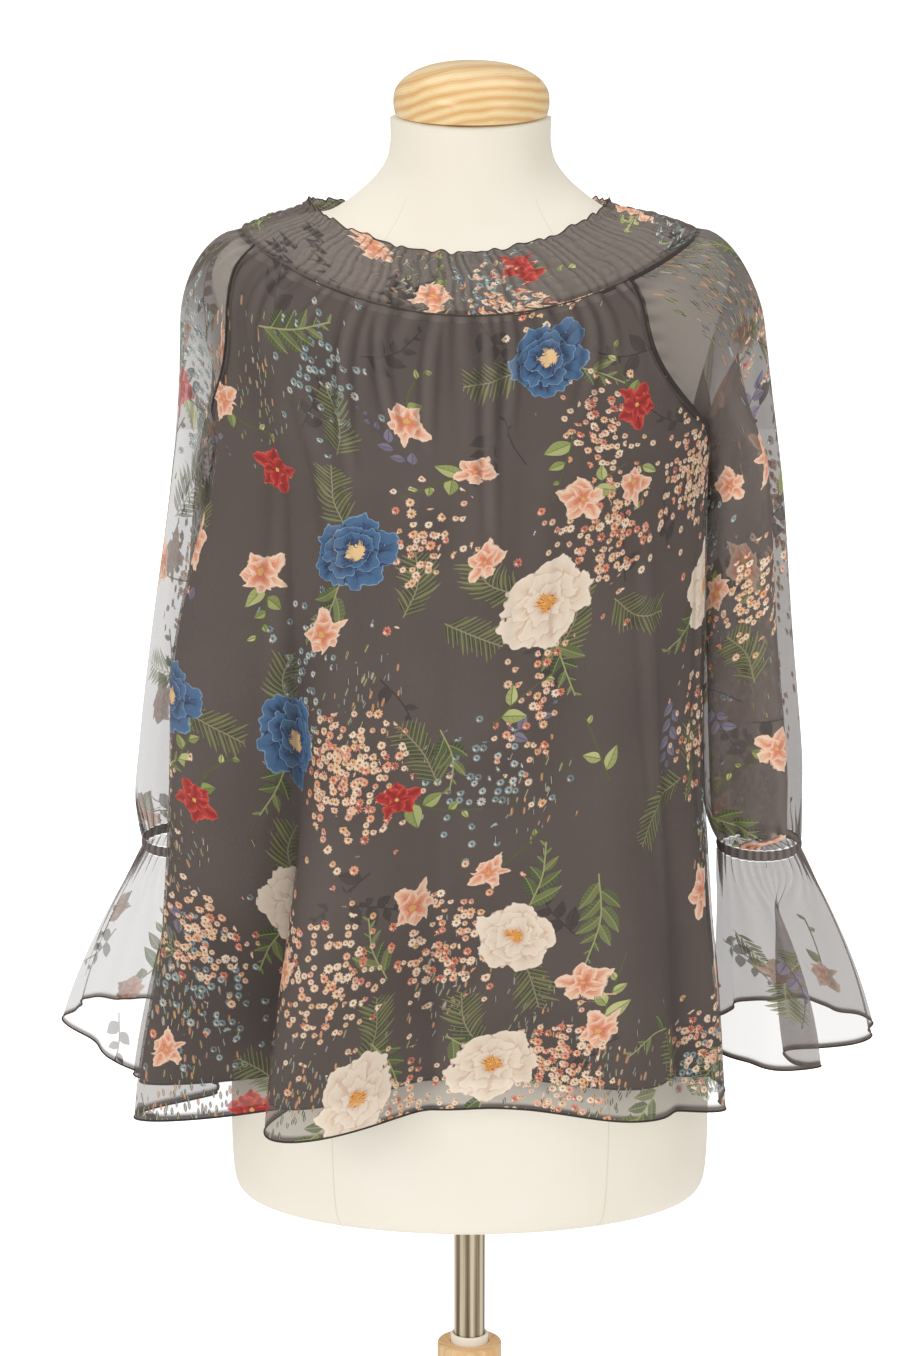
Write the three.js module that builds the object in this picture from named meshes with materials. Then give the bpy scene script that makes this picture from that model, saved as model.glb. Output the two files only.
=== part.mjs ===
// Sheer floral blouse with raglan sleeves and wrist flounces, on a limbless dress form.
// Millimetres, +Z up, the floor at z = 0. The front faces -Y and the wearer's left is +X.
// An angle of 0 is the front of a ring, +90 the wearer's left, 180 the back.

import * as THREE from 'three';
import { mergeVertices } from 'three/addons/utils/BufferGeometryUtils.js';

// Cloth
const CLOTH = 1.0; // wall of each chiffon and lining panel
const SEAM = 0.45; // gap between two pieces sewn together
const LAYER = 0.7; // gap between the chiffon and the lining under it
const GATHERS = 84; // gathers round the yoke
const GATHER_RISE = 1.7; // how far a gather stands above its valley
const YOKE_WALL = 1.2;

// Heights
const HUB_TOP = 600;
const TORSO_BOTTOM = 715;
const NECK_TOP = 1470;
const CAP_TOP = 1507;
const UNDERARM = 0.27; // along the body panels, 0 at the yoke and 1 at the hem
const WRIST = 971;
const CASING_TALL = 7;

// Stand
const POLE_RADIUS = 11;
const POLE_BOTTOM = 130;
const POLE_IN_TORSO = 80;
const SLIDE_FIT = 0.3;
const BUSH_WALL = 2.2;
const BUSH_PROUD = 6;
const BUSH_DEEP = 40;
const HUB_RADIUS = 23;
const HUB_BODY_RADIUS = 34;
const LEG_SPREAD = 262; // from the pole's axis to the middle of a foot
const LEG_WIDE = 26;
const FOOT_RADIUS = 17;
const FOOT_TALL = 8;

// Each ring of the torso: half width, front and back depth, and its height at the front,
// the side and the back, so that a ring can dip over the shoulders like a saddle.
const TORSO_RINGS = [
  { half: 151, front: 94, back: 102, zFront: 715, zSide: 715, zBack: 715 },
  { half: 162, front: 103, back: 111, zFront: 719, zSide: 719, zBack: 719 },
  { half: 167, front: 108, back: 117, zFront: 735, zSide: 735, zBack: 735 },
  { half: 168, front: 111, back: 121, zFront: 780, zSide: 780, zBack: 780 },
  { half: 165, front: 111, back: 120, zFront: 830, zSide: 830, zBack: 830 },
  { half: 148, front: 104, back: 111, zFront: 905, zSide: 905, zBack: 905 },
  { half: 127, front: 93, back: 97, zFront: 1000, zSide: 1000, zBack: 1000 },
  { half: 117, front: 88, back: 90, zFront: 1085, zSide: 1085, zBack: 1085 },
  { half: 126, front: 102, back: 96, zFront: 1155, zSide: 1155, zBack: 1155 },
  { half: 144, front: 122, back: 106, zFront: 1225, zSide: 1225, zBack: 1225 },
  { half: 151, front: 121, back: 109, zFront: 1270, zSide: 1275, zBack: 1270 },
  { half: 163, front: 112, back: 107, zFront: 1308, zSide: 1320, zBack: 1308 },
  { half: 172, front: 107, back: 95, zFront: 1332, zSide: 1350, zBack: 1330 },
  { half: 174, front: 103, back: 86, zFront: 1344, zSide: 1367, zBack: 1342 },
  { half: 166, front: 99, back: 80, zFront: 1352, zSide: 1382, zBack: 1355 },
  { half: 146, front: 94, back: 74, zFront: 1360, zSide: 1394.5, zBack: 1370 },
  { half: 118, front: 84, back: 66, zFront: 1371, zSide: 1404.2, zBack: 1388 },
  { half: 94, front: 71, back: 60, zFront: 1384, zSide: 1408, zBack: 1404 },
  { half: 71, front: 59, back: 56, zFront: 1402, zSide: 1424, zBack: 1422 },
  { half: 58, front: 54, back: 53, zFront: 1424, zSide: 1439, zBack: 1438 },
  { half: 54, front: 53, back: 52, zFront: 1446, zSide: 1453, zBack: 1456 },
  { half: 54, front: 53, back: 52, zFront: 1466, zSide: 1470, zBack: 1474 },
];

// The yoke from the neck edge (at 0) to its lower seam (at 1).
const YOKE_RINGS = [
  { at: 0, middle: -8, half: 100, front: 80, back: 70, zFront: 1388, zSide: 1414, zBack: 1411 },
  { at: 0.15, middle: -8, half: 106, front: 84, back: 73, zFront: 1384, zSide: 1409, zBack: 1407 },
  { at: 0.55, middle: -4, half: 130, front: 98, back: 85, zFront: 1370, zSide: 1403, zBack: 1390 },
  { at: 1, middle: -1, half: 153, front: 111, back: 104, zFront: 1351, zSide: 1395, zBack: 1360 },
];

// The body from the yoke seam (at 0) to the hem (at 1), which dips at the back.
const BODY_RINGS = [
  { at: 0, middle: -1, half: 153, front: 111, back: 104, zFront: 1351, zSide: 1395, zBack: 1360 },
  { at: 0.05, middle: -1, half: 173, front: 118, back: 111, zFront: 1333, zSide: 1380, zBack: 1339 },
  { at: 0.1, middle: -1, half: 181, front: 124, back: 116, zFront: 1312, zSide: 1352, zBack: 1316 },
  { at: 0.19, middle: -2, half: 174, front: 134, back: 119, zFront: 1272, zSide: 1296, zBack: 1268 },
  { at: 0.27, middle: -1, half: 163, front: 139, back: 122, zFront: 1236, zSide: 1246, zBack: 1230 },
  { at: 0.45, middle: 0, half: 160, front: 140, back: 122, zFront: 1140, zSide: 1143, zBack: 1125 },
  { at: 0.65, middle: 0, half: 161, front: 137, back: 121, zFront: 1024, zSide: 1024, zBack: 1000 },
  { at: 0.8, middle: 0, half: 167, front: 132, back: 126, zFront: 934, zSide: 930, zBack: 894 },
  { at: 0.9, middle: 0, half: 173, front: 127, back: 131, zFront: 874, zSide: 864, zBack: 818 },
  { at: 1, middle: 0, half: 178, front: 124, back: 137, zFront: 815, zSide: 788, zBack: 740 },
];

// Soft folds that run down the body: where each is, how wide to either side, how far it
// stands out at the hem, and where it starts and is full.
const BODY_FOLDS = [
  { angle: -67, spread: 20, rise: 58, start: 0.1, full: 0.55 },
  { angle: -67, spread: 15, rise: 12, start: 0.8, full: 1.0 },
  { angle: -47, spread: 10, rise: -12, start: 0.35, full: 1.0 },
  { angle: -29, spread: 21, rise: 74, start: 0.36, full: 1.05 },
  { angle: 6, spread: 13, rise: -4, start: 0.5, full: 1.0 },
  { angle: 33, spread: 22, rise: 27, start: 0.4, full: 1.0 },
  { angle: 64, spread: 13, rise: 17, start: 0.5, full: 1.0 },
  { angle: 120, spread: 17, rise: 24, start: 0.55, full: 1.0 },
  { angle: 153, spread: 15, rise: 30, start: 0.4, full: 1.0 },
  { angle: 187, spread: 17, rise: 36, start: 0.4, full: 1.0 },
  { angle: 219, spread: 14, rise: 26, start: 0.45, full: 1.0 },
  { angle: 248, spread: 19, rise: 52, start: 0.72, full: 1.0 },
];

// Rows of points down the body panels. The linings share them, apart from their hem.
const UPPER_ROWS = [0.06, 0.12, 0.19];
const PANEL_ROWS = [0.0015, 0.012, ...UPPER_ROWS, UNDERARM, 0.39, 0.53, 0.68, 0.82, 0.92, 1];
const LINING_HEM = 0.965;
const SLEEVE_ROWS = [0, 0.012, 0.04, 0.09, 0.17, 0.3, 0.47, 0.66, 0.85, 1];

// Raglan seams: the angle of each on the body rings, from the yoke to the underarm.
const RAGLAN_SEAMS = [
  { at: 0, frontRight: -68, frontLeft: 43, backLeft: 106, backRight: 226 },
  { at: 0.1, frontRight: -62, frontLeft: 41, backLeft: 118, backRight: 232 },
  { at: 0.19, frontRight: -68, frontLeft: 56, backLeft: 112, backRight: 244 },
  { at: 0.27, frontRight: -88, frontLeft: 86, backLeft: 86, backRight: 272 },
];

// Hanging sleeve and flounce sections: outer and inner reach from the middle plane, and the
// front and back of the tube. The wearer's right sleeve is on the -X side.
const SLEEVES = {
  right: {
    side: -1,
    sections: [
      { z: 1400, outer: 194, inner: 150, front: -52, back: 56 },
      { z: 1300, outer: 197, inner: 160, front: -46, back: 56 },
      { z: 1212, outer: 206, inner: 170, front: -36, back: 56 },
      { z: 1112, outer: 220, inner: 175, front: -34, back: 56 },
      { z: 1030, outer: 230, inner: 178, front: -36, back: 58 },
      { z: 995, outer: 233, inner: 180, front: -34, back: 54 },
      { z: 971, outer: 227, inner: 184, front: -24, back: 44 },
    ],
    flounce: { outer: 282, inner: 205, front: -50, back: 60, zOuter: 842, zFront: 812, zBack: 836 },
    waves: 6,
  },
  left: {
    side: 1,
    sections: [
      { z: 1400, outer: 190, inner: 150, front: -52, back: 56 },
      { z: 1300, outer: 202, inner: 162, front: -50, back: 54 },
      { z: 1212, outer: 215, inner: 168, front: -46, back: 54 },
      { z: 1112, outer: 223, inner: 169, front: -46, back: 52 },
      { z: 1030, outer: 230, inner: 170, front: -46, back: 52 },
      { z: 995, outer: 230, inner: 171, front: -42, back: 48 },
      { z: 971, outer: 229, inner: 174, front: -34, back: 40 },
    ],
    flounce: { outer: 286, inner: 184, front: -54, back: 62, zOuter: 829, zFront: 820, zBack: 836 },
    waves: 7,
  },
};
const SHOULDER_ROUND = 60; // how far below its seam a sleeve takes to hang straight
const SLEEVE_TURN = { frontYoke: 25, backYoke: 150, underarm: 270 };

const material = (name, color, roughness, metalness = 0) =>
  new THREE.MeshStandardMaterial({ name, color, roughness, metalness });
const MATERIALS = {
  chiffon: material('chiffon', 0x5a4f4c, 0.75),
  lining: material('lining', 0x4c4340, 0.8),
  jersey: material('jersey', 0xf5efe0, 0.9),
  capWood: material('cap_wood', 0xe1af6e, 0.25),
  standWood: material('stand_wood', 0xebc8a0, 0.5),
  steel: material('steel', 0x9a8a70, 0.3, 1),
  plastic: material('plastic', 0xf5f0e4, 0.4),
  rubber: material('rubber', 0x2b2b2b, 0.8),
};

const radians = THREE.MathUtils.degToRad;
const lerp = THREE.MathUtils.lerp;
const eased = (value) => THREE.MathUtils.smoothstep(value, 0, 1);

// A smooth curve through one column of a table: a Hermite cubic between two rows.
function column(table, key, name, value) {
  const last = table.length - 1;
  const rising = table[last][key] > table[0][key];
  const passed = table.findIndex((row) => (rising ? row[key] >= value : row[key] <= value));
  const next = passed < 1 ? (passed === 0 ? 1 : last) : passed;
  const slope = (index) => {
    const before = table[Math.max(index - 1, 0)];
    const after = table[Math.min(index + 1, last)];
    return (after[name] - before[name]) / (after[key] - before[key]);
  };
  const a = table[next - 1];
  const b = table[next];
  const step = b[key] - a[key];
  const t = THREE.MathUtils.clamp((value - a[key]) / step, 0, 1);
  const curveA = (1 + 2 * t) * (1 - t) ** 2 * a[name] + t * (1 - t) ** 2 * step * slope(next - 1);
  const curveB = t * t * (3 - 2 * t) * b[name] - t * t * (1 - t) * step * slope(next);
  return curveA + curveB;
}

function row(table, key, value) {
  const names = Object.keys(table[0]);
  return Object.fromEntries(names.map((name) => [name, column(table, key, name, value)]));
}

// A point of a saddle ring, pushed out level by a distance.
function ringPoint(ring, angle, push = 0) {
  const sine = Math.sin(radians(angle));
  const cosine = Math.cos(radians(angle));
  const depth = cosine > 0 ? ring.front : ring.back;
  const zEnd = cosine > 0 ? ring.zFront : ring.zBack;
  return new THREE.Vector3(
    (ring.middle ?? 0) + (ring.half + push) * sine,
    -(depth + push) * cosine,
    lerp(ring.zSide, zEnd, cosine * cosine),
  );
}

// How far the folds push a ring out. The lining takes only a share of each ridge.
function foldPush(angle, at, ridges) {
  let push = 0;
  for (const fold of BODY_FOLDS) {
    const turn = ((angle - fold.angle + 540) % 360) - 180;
    if (Math.abs(turn) < fold.spread) {
      const grown = eased((at - fold.start) / (fold.full - fold.start));
      const shape = Math.cos((turn / fold.spread) * (Math.PI / 2)) ** 2;
      push += fold.rise * grown * shape * (fold.rise > 0 ? ridges : 1);
    }
  }
  return push;
}

const bodyPoint = (angle, at, ridges = 1) =>
  ringPoint(row(BODY_RINGS, 'at', at), angle, foldPush(angle, at, ridges));

const yokePoint = (angle, at) => ringPoint(row(YOKE_RINGS, 'at', at), angle);

const seamAngle = (name, at) => column(RAGLAN_SEAMS, 'at', name, Math.min(at, UNDERARM));

// A closed wall on a surface(u, v), with a column for each u round it and a row for each v
// down it. The surface is the inner face, and thickness(u, v) is laid on it along its normal.
function wall(surface, { columns, rows, closed = false, thickness = () => CLOTH, inset = 0 }) {
  const count = columns.length;
  const across = closed ? count : count - 1;
  const down = rows.length - 1;
  const points = [];
  const nudge = 1e-3;
  for (const outer of [true, false]) {
    for (const v of rows) {
      const low = Math.min(v + nudge, rows[down]);
      const high = Math.max(v - nudge, rows[0]);
      for (const u of columns) {
        const round = surface(u + nudge, v).sub(surface(u - nudge, v));
        const along = surface(u, low).sub(surface(u, high));
        const normal = along.cross(round).normalize();
        points.push(surface(u, v).addScaledVector(normal, inset + (outer ? thickness(u, v) : 0)));
      }
    }
  }
  const index = (side, i, j) => side * count * (down + 1) + j * count + (i % count);
  const faces = [];
  const quad = (a, b, c, d) => faces.push(a, b, c, a, c, d);
  for (let i = 0; i < across; i += 1) {
    for (let j = 0; j < down; j += 1) {
      quad(index(0, i, j), index(0, i, j + 1), index(0, i + 1, j + 1), index(0, i + 1, j));
      quad(index(1, i, j), index(1, i + 1, j), index(1, i + 1, j + 1), index(1, i, j + 1));
    }
    quad(index(0, i, 0), index(0, i + 1, 0), index(1, i + 1, 0), index(1, i, 0));
    quad(index(0, i + 1, down), index(0, i, down), index(1, i, down), index(1, i + 1, down));
  }
  for (let j = 0; j < down && !closed; j += 1) {
    quad(index(0, 0, j + 1), index(0, 0, j), index(1, 0, j), index(1, 0, j + 1));
    quad(index(0, across, j), index(0, across, j + 1), index(1, across, j + 1), index(1, across, j));
  }
  return solid(points, faces);
}

const spaced = (from, to, steps) =>
  Array.from({ length: steps + 1 }, (_, step) => lerp(from, to, step / steps));

function solid(points, faces) {
  const geometry = new THREE.BufferGeometry();
  const numbers = points.flatMap((point) => point.toArray());
  geometry.setAttribute('position', new THREE.Float32BufferAttribute(numbers, 3));
  geometry.setIndex(faces);
  geometry.computeVertexNormals();
  return geometry;
}

// A solid through a list of rings, closed by a fan at each end.
function loft(rings) {
  const count = rings[0].length;
  const points = rings.flat();
  const faces = [];
  for (let k = 0; k + 1 < rings.length; k += 1) {
    for (let i = 0; i < count; i += 1) {
      const next = (i + 1) % count;
      const [a, b] = [k * count + i, k * count + next];
      const [c, d] = [b + count, a + count];
      faces.push(a, b, c, a, c, d);
    }
  }
  const middle = (ring) => ring.reduce((sum, p) => sum.add(p), new THREE.Vector3()).divideScalar(count);
  const start = points.push(middle(rings[0])) - 1;
  const end = points.push(middle(rings.at(-1))) - 1;
  const lastRing = (rings.length - 1) * count;
  for (let i = 0; i < count; i += 1) {
    const next = (i + 1) % count;
    faces.push(start, next, i, end, lastRing + i, lastRing + next);
  }
  return solid(points, faces);
}

const model = new THREE.Group();

function add(name, geometry, finish) {
  const mesh = new THREE.Mesh(geometry, finish);
  mesh.name = name;
  model.add(mesh);
  return mesh;
}

// Yoke: the gathers are raised in the outer face over a plain inside.
function makeYoke() {
  const peaks = GATHERS * 2;
  const columns = spaced(-180, 180, peaks).slice(0, -1);
  const gather = (angle, at) => {
    const onPeak = Math.round(((angle + 180) / 360) * peaks) % 2;
    return YOKE_WALL + GATHER_RISE * onPeak * (at > 0.9 ? 0.6 : 1);
  };
  const rows = [0, 0.15, 0.55, 1 - SEAM / 60];
  add('yoke', wall(yokePoint, { columns, rows, closed: true, thickness: gather }), MATERIALS.chiffon);
}

// A body panel between two seams: u runs from 0 at one seam to 1 at the other.
function panel({ from, to, sideFrom, sideTo }, ridges) {
  const gap = 0.25;
  return (u, at) => {
    const low = at < UNDERARM ? seamAngle(from, at) : sideFrom;
    const high = at < UNDERARM ? seamAngle(to, at) : sideTo;
    return bodyPoint(lerp(low + gap, high - gap, u), at, ridges);
  };
}

const FRONT = { from: 'frontRight', to: 'frontLeft', sideFrom: -88, sideTo: 86 };
const BACK = { from: 'backLeft', to: 'backRight', sideFrom: 86, sideTo: 272 };
const LINING_RIDGES = 0.8;

function makeBody() {
  const columns = spaced(0, 1, 30);
  const liningRows = [...PANEL_ROWS.slice(1, -1), LINING_HEM];
  const inner = { columns, rows: liningRows, inset: -(LAYER + CLOTH) };
  add('body_front', wall(panel(FRONT, 1), { columns, rows: PANEL_ROWS }), MATERIALS.chiffon);
  add('body_back', wall(panel(BACK, 1), { columns, rows: PANEL_ROWS }), MATERIALS.chiffon);
  add('lining_front', wall(panel(FRONT, LINING_RIDGES), inner), MATERIALS.lining);
  add('lining_back', wall(panel(BACK, LINING_RIDGES), inner), MATERIALS.lining);
}

// Turns round a sleeve: from the underarm up the front seam, where they meet the rows of
// the body panel, then along the yoke and down the back seam.
const { frontYoke, backYoke, underarm } = SLEEVE_TURN;
const frontTurn = (at) => lerp(frontYoke, underarm - 360, at / UNDERARM);
const backTurn = (at) => lerp(backYoke, underarm, at / UNDERARM);
const SLEEVE_TURNS = [
  underarm - 360,
  ...UPPER_ROWS.map(frontTurn).reverse(),
  ...spaced(frontYoke, backYoke, 9),
  ...UPPER_ROWS.map(backTurn),
];

// Where a sleeve's edge lies on the body surface at a turn round the sleeve.
function sleeveStart(side, turn) {
  const frontSeam = side > 0 ? 'frontLeft' : 'frontRight';
  const backSeam = side > 0 ? 'backLeft' : 'backRight';
  const wrap = side > 0 ? 0 : -360;
  const apart = 1.1 * side;
  const below = 0.005;
  const share = turn < frontYoke
    ? (frontYoke - turn) / (frontYoke + 360 - underarm)
    : (turn - backYoke) / (underarm - backYoke);
  const at = THREE.MathUtils.clamp(share * UNDERARM, below, UNDERARM - 3 * below);
  const front = seamAngle(frontSeam, at) + apart;
  const back = seamAngle(backSeam, at) + wrap - apart;
  if (share > 0.99) {
    return bodyPoint((front + back) / 2, at);
  }
  if (turn < frontYoke) {
    return bodyPoint(front, at);
  }
  const over = Math.min((turn - frontYoke) / (backYoke - frontYoke), 1);
  return bodyPoint(lerp(front, back, over), at);
}

// A point of the hanging tube at a height, for a turn round it: 0 front, 90 outer, 180 back.
function tubePoint(sleeve, turn, z) {
  const section = row(sleeve.sections, 'z', z);
  const sine = Math.sin(radians(turn));
  const cosine = Math.cos(radians(turn));
  const x = lerp(section.inner, section.outer, (1 + sine) / 2);
  const y = lerp(section.back, section.front, (1 + cosine) / 2);
  return new THREE.Vector3(sleeve.side * x, y, z);
}

function flouncePoint(sleeve, turn, share) {
  const { flounce, waves } = sleeve;
  const sine = Math.sin(radians(turn));
  const cosine = Math.cos(radians(turn));
  const wave = 4.5 * share * Math.sin(radians(waves * turn));
  const top = tubePoint(sleeve, turn, WRIST);
  const zEnd = lerp(cosine > 0 ? flounce.zFront : flounce.zBack, flounce.zOuter, sine > 0 ? sine : 0);
  const x = lerp(flounce.inner, flounce.outer, (1 + sine) / 2) + wave * sine;
  const y = lerp(flounce.back, flounce.front, (1 + cosine) / 2) - wave * cosine;
  const hem = new THREE.Vector3(sleeve.side * x, y, zEnd);
  const start = new THREE.Vector3(top.x, top.y, WRIST - CASING_TALL - 2 * SEAM);
  const spread = Math.sin((share * Math.PI) / 2) * 0.45 + share * 0.55;
  return new THREE.Vector3(
    lerp(start.x, hem.x, spread),
    lerp(start.y, hem.y, spread),
    lerp(start.z, hem.z, share),
  );
}

function makeSleeve(name, sleeve) {
  // Seen from above the turns of the wearer's right sleeve run the other way, so its columns
  // are taken from last to first, with the turn's sign changed, and its faces still point out.
  const { side } = sleeve;
  const ordered = (turns) => (side > 0 ? turns : turns.map((turn) => -turn).reverse());
  const turnOf = (u) => {
    const turn = side > 0 ? u : -u;
    return turn < underarm - 360 ? turn + 360 : turn;
  };
  const tube = (u, v) => {
    const turn = turnOf(u);
    const start = sleeveStart(side, turn);
    const z = lerp(start.z, WRIST + SEAM, v);
    const hang = tubePoint(sleeve, turn, z);
    const share = Math.min((start.z - z) / SHOULDER_ROUND, 1);
    const round = Math.sqrt(1 - (1 - share) ** 2);
    return new THREE.Vector3(lerp(start.x, hang.x, round), lerp(start.y, hang.y, round), z);
  };
  const columns = ordered(SLEEVE_TURNS);
  add(`sleeve_${name}`, wall(tube, { columns, rows: SLEEVE_ROWS, closed: true }), MATERIALS.chiffon);
  const casing = (u, v) => tubePoint(sleeve, turnOf(u), WRIST).setZ(WRIST - v * CASING_TALL);
  const even = (count) => ordered(spaced(-90, 270, count).slice(0, -1));
  const tape = { columns: even(24), rows: [0, 1], closed: true };
  add(`wrist_casing_${name}`, wall(casing, { ...tape, thickness: () => 1.6 }), MATERIALS.chiffon);
  const bell = (u, v) => flouncePoint(sleeve, turnOf(u), v);
  const flared = { columns: even(40), rows: [0, 0.22, 0.6, 1], closed: true };
  add(`flounce_${name}`, wall(bell, flared), MATERIALS.chiffon);
}

// Torso: rings from the pole's bore, across the flat base and up to the neck.
function makeTorso() {
  const sides = 30;
  const turns = Array.from({ length: sides }, (_, i) => (360 * i) / sides);
  const bore = POLE_RADIUS + SLIDE_FIT;
  const circle = (radius, z) => turns.map((turn) => ringPoint(
    { half: radius, front: radius, back: radius, zFront: z, zSide: z, zBack: z }, turn));
  const rings = [circle(bore, TORSO_BOTTOM + POLE_IN_TORSO), circle(bore, TORSO_BOTTOM)];
  for (const ring of TORSO_RINGS) {
    rings.push(turns.map((turn) => ringPoint(ring, turn)));
  }
  add('torso', loft(rings), MATERIALS.jersey);
}

// Neck cap: a turned dome whose rim follows the tilt of the neck.
function makeCap() {
  const radius = 52;
  const tilt = 4;
  const tall = CAP_TOP - NECK_TOP - 3 * SEAM;
  const dome = [new THREE.Vector2(0, 0), new THREE.Vector2(radius, 0), new THREE.Vector2(radius, 11)];
  for (let step = 1; step <= 5; step += 1) {
    const turn = (step / 5) * (Math.PI / 2);
    dome.push(new THREE.Vector2(radius * Math.cos(turn), 11 + (tall - 11) * Math.sin(turn)));
  }
  dome.at(-1).x = 0;
  const geometry = new THREE.LatheGeometry(dome, 30);
  geometry.rotateX(Math.PI / 2);
  const cap = add('neck_cap', geometry, MATERIALS.capWood);
  cap.rotation.x = radians(tilt);
  cap.position.set(0.5, 0, NECK_TOP + 3 * SEAM);
}

// A turned piece from a closed profile of [radius, height] pairs.
function turned(profile, segments = 24) {
  const points = [...profile, profile[0]].map(([radius, z]) => new THREE.Vector2(radius, z));
  const geometry = new THREE.LatheGeometry(points, segments);
  geometry.rotateX(Math.PI / 2);
  return geometry;
}

function makeStand() {
  const poleTop = TORSO_BOTTOM + POLE_IN_TORSO - SLIDE_FIT;
  const pole = [[0, POLE_BOTTOM], [POLE_RADIUS, POLE_BOTTOM], [POLE_RADIUS, poleTop], [0, poleTop]];
  add('pole', turned(pole), MATERIALS.steel);

  const bushBore = POLE_RADIUS + SLIDE_FIT;
  const bushRadius = bushBore + BUSH_WALL;
  const bushBottom = HUB_TOP - BUSH_DEEP + SLIDE_FIT;
  const bushTop = HUB_TOP + BUSH_PROUD;
  add('bushing', turned([
    [bushBore, bushBottom], [bushRadius, bushBottom], [bushRadius, bushTop - 1],
    [bushRadius - 1, bushTop], [bushBore, bushTop],
  ]), MATERIALS.plastic);

  const socket = bushRadius + SLIDE_FIT;
  const passage = POLE_RADIUS + 1;
  const shelf = HUB_TOP - BUSH_DEEP;
  const shoulder = HUB_TOP - 28;
  const bodyBottom = HUB_TOP - 96;
  add('hub', turned([
    [socket, HUB_TOP], [socket, shelf], [passage, shelf], [passage, bodyBottom - 14],
    [HUB_RADIUS, bodyBottom - 14], [HUB_BODY_RADIUS, bodyBottom],
    [HUB_BODY_RADIUS, shoulder - 6], [HUB_RADIUS + 2, shoulder], [HUB_RADIUS, HUB_TOP - 20],
    [HUB_RADIUS, HUB_TOP],
  ]), MATERIALS.standWood);

  const legTop = FOOT_TALL + SLIDE_FIT;
  const seat = HUB_BODY_RADIUS + SLIDE_FIT;
  for (let leg = 0; leg < 3; leg += 1) {
    const turn = leg * (Math.PI * 2) / 3;
    const outline = new THREE.Shape([
      new THREE.Vector2(seat, shoulder - 12), new THREE.Vector2(seat, bodyBottom + 4),
      new THREE.Vector2(LEG_SPREAD - 11, legTop), new THREE.Vector2(LEG_SPREAD + 11, legTop),
    ]);
    const edge = 3;
    const bar = new THREE.ExtrudeGeometry(outline, {
      depth: LEG_WIDE - 2 * edge, bevelThickness: edge, bevelSize: edge, bevelOffset: -edge, bevelSegments: 2,
    });
    bar.translate(0, 0, -LEG_WIDE / 2 + edge);
    bar.rotateX(Math.PI / 2);
    const mesh = add(`leg_${leg + 1}`, bar, MATERIALS.standWood);
    mesh.rotation.z = turn;
    const foot = new THREE.CylinderGeometry(FOOT_RADIUS, FOOT_RADIUS, FOOT_TALL, 24);
    foot.rotateX(Math.PI / 2);
    const pad = add(`foot_${leg + 1}`, foot, MATERIALS.rubber);
    pad.position.set(LEG_SPREAD * Math.cos(turn), LEG_SPREAD * Math.sin(turn), FOOT_TALL / 2);
  }
}

makeYoke();
makeBody();
makeSleeve('right', SLEEVES.right);
makeSleeve('left', SLEEVES.left);
makeTorso();
makeCap();
makeStand();

for (const mesh of model.children) {
  mesh.geometry.deleteAttribute('normal');
  mesh.geometry.deleteAttribute('uv');
  mesh.geometry = mergeVertices(mesh.geometry, 1e-3);
}

export default model;
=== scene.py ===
"""Sheer floral blouse with a gathered yoke, raglan sleeves, wrist flounces and a dark lining,
on a cream dress form with a turned wood cap, a steel pole and a wood tripod.
Metres in Blender; the shape tables are in millimetres, as in the part's source."""
import math

import bpy
import numpy as np
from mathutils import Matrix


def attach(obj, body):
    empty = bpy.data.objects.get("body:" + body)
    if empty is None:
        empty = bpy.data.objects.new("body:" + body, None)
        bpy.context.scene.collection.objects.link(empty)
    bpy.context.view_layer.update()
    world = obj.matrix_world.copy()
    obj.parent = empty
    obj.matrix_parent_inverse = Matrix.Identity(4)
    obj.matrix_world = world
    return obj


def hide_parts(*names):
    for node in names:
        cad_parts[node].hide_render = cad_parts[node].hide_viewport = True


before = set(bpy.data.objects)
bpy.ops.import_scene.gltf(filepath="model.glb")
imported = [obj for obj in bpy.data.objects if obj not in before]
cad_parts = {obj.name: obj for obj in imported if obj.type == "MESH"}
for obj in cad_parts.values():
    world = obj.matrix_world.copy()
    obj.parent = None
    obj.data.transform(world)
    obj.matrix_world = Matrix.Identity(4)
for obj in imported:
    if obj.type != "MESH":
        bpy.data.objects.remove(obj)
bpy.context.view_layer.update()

MM = 0.001

# ---------------------------------------------------------------- measures, in millimetres
CLOTH = 1.0
SEAM = 0.45
LAYER = 0.7
GATHERS = 96
UNDERARM = 0.27
WRIST = 971.0
CASING_TALL = 7.0
LINING_HEM = 0.965
LINING_RIDGES = 1.0
SHOULDER_ROUND = 60.0
FRONT_YOKE, BACK_YOKE, UNDERARM_TURN = 25.0, 150.0, 270.0
TORSO_BOTTOM = 715.0
BORE_RADIUS, BORE_DEEP = 11.35, 79.0
POLE_RADIUS, POLE_TOP, POLE_BOTTOM = 11.0, 794.6, 130.0
BUSH_RADIUS, BUSH_INSIDE, BUSH_TOP, BUSH_BOTTOM = 13.5, 11.3, 606.0, 560.3
HUB_TOP, HUB_BOTTOM = 600.0, 490.0
LEG_SPREAD = 262.0
FOOT_RADIUS, FOOT_TALL = 17.0, 8.0
PANEL_COLUMNS, LINING_COLUMNS = 300, 160

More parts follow.
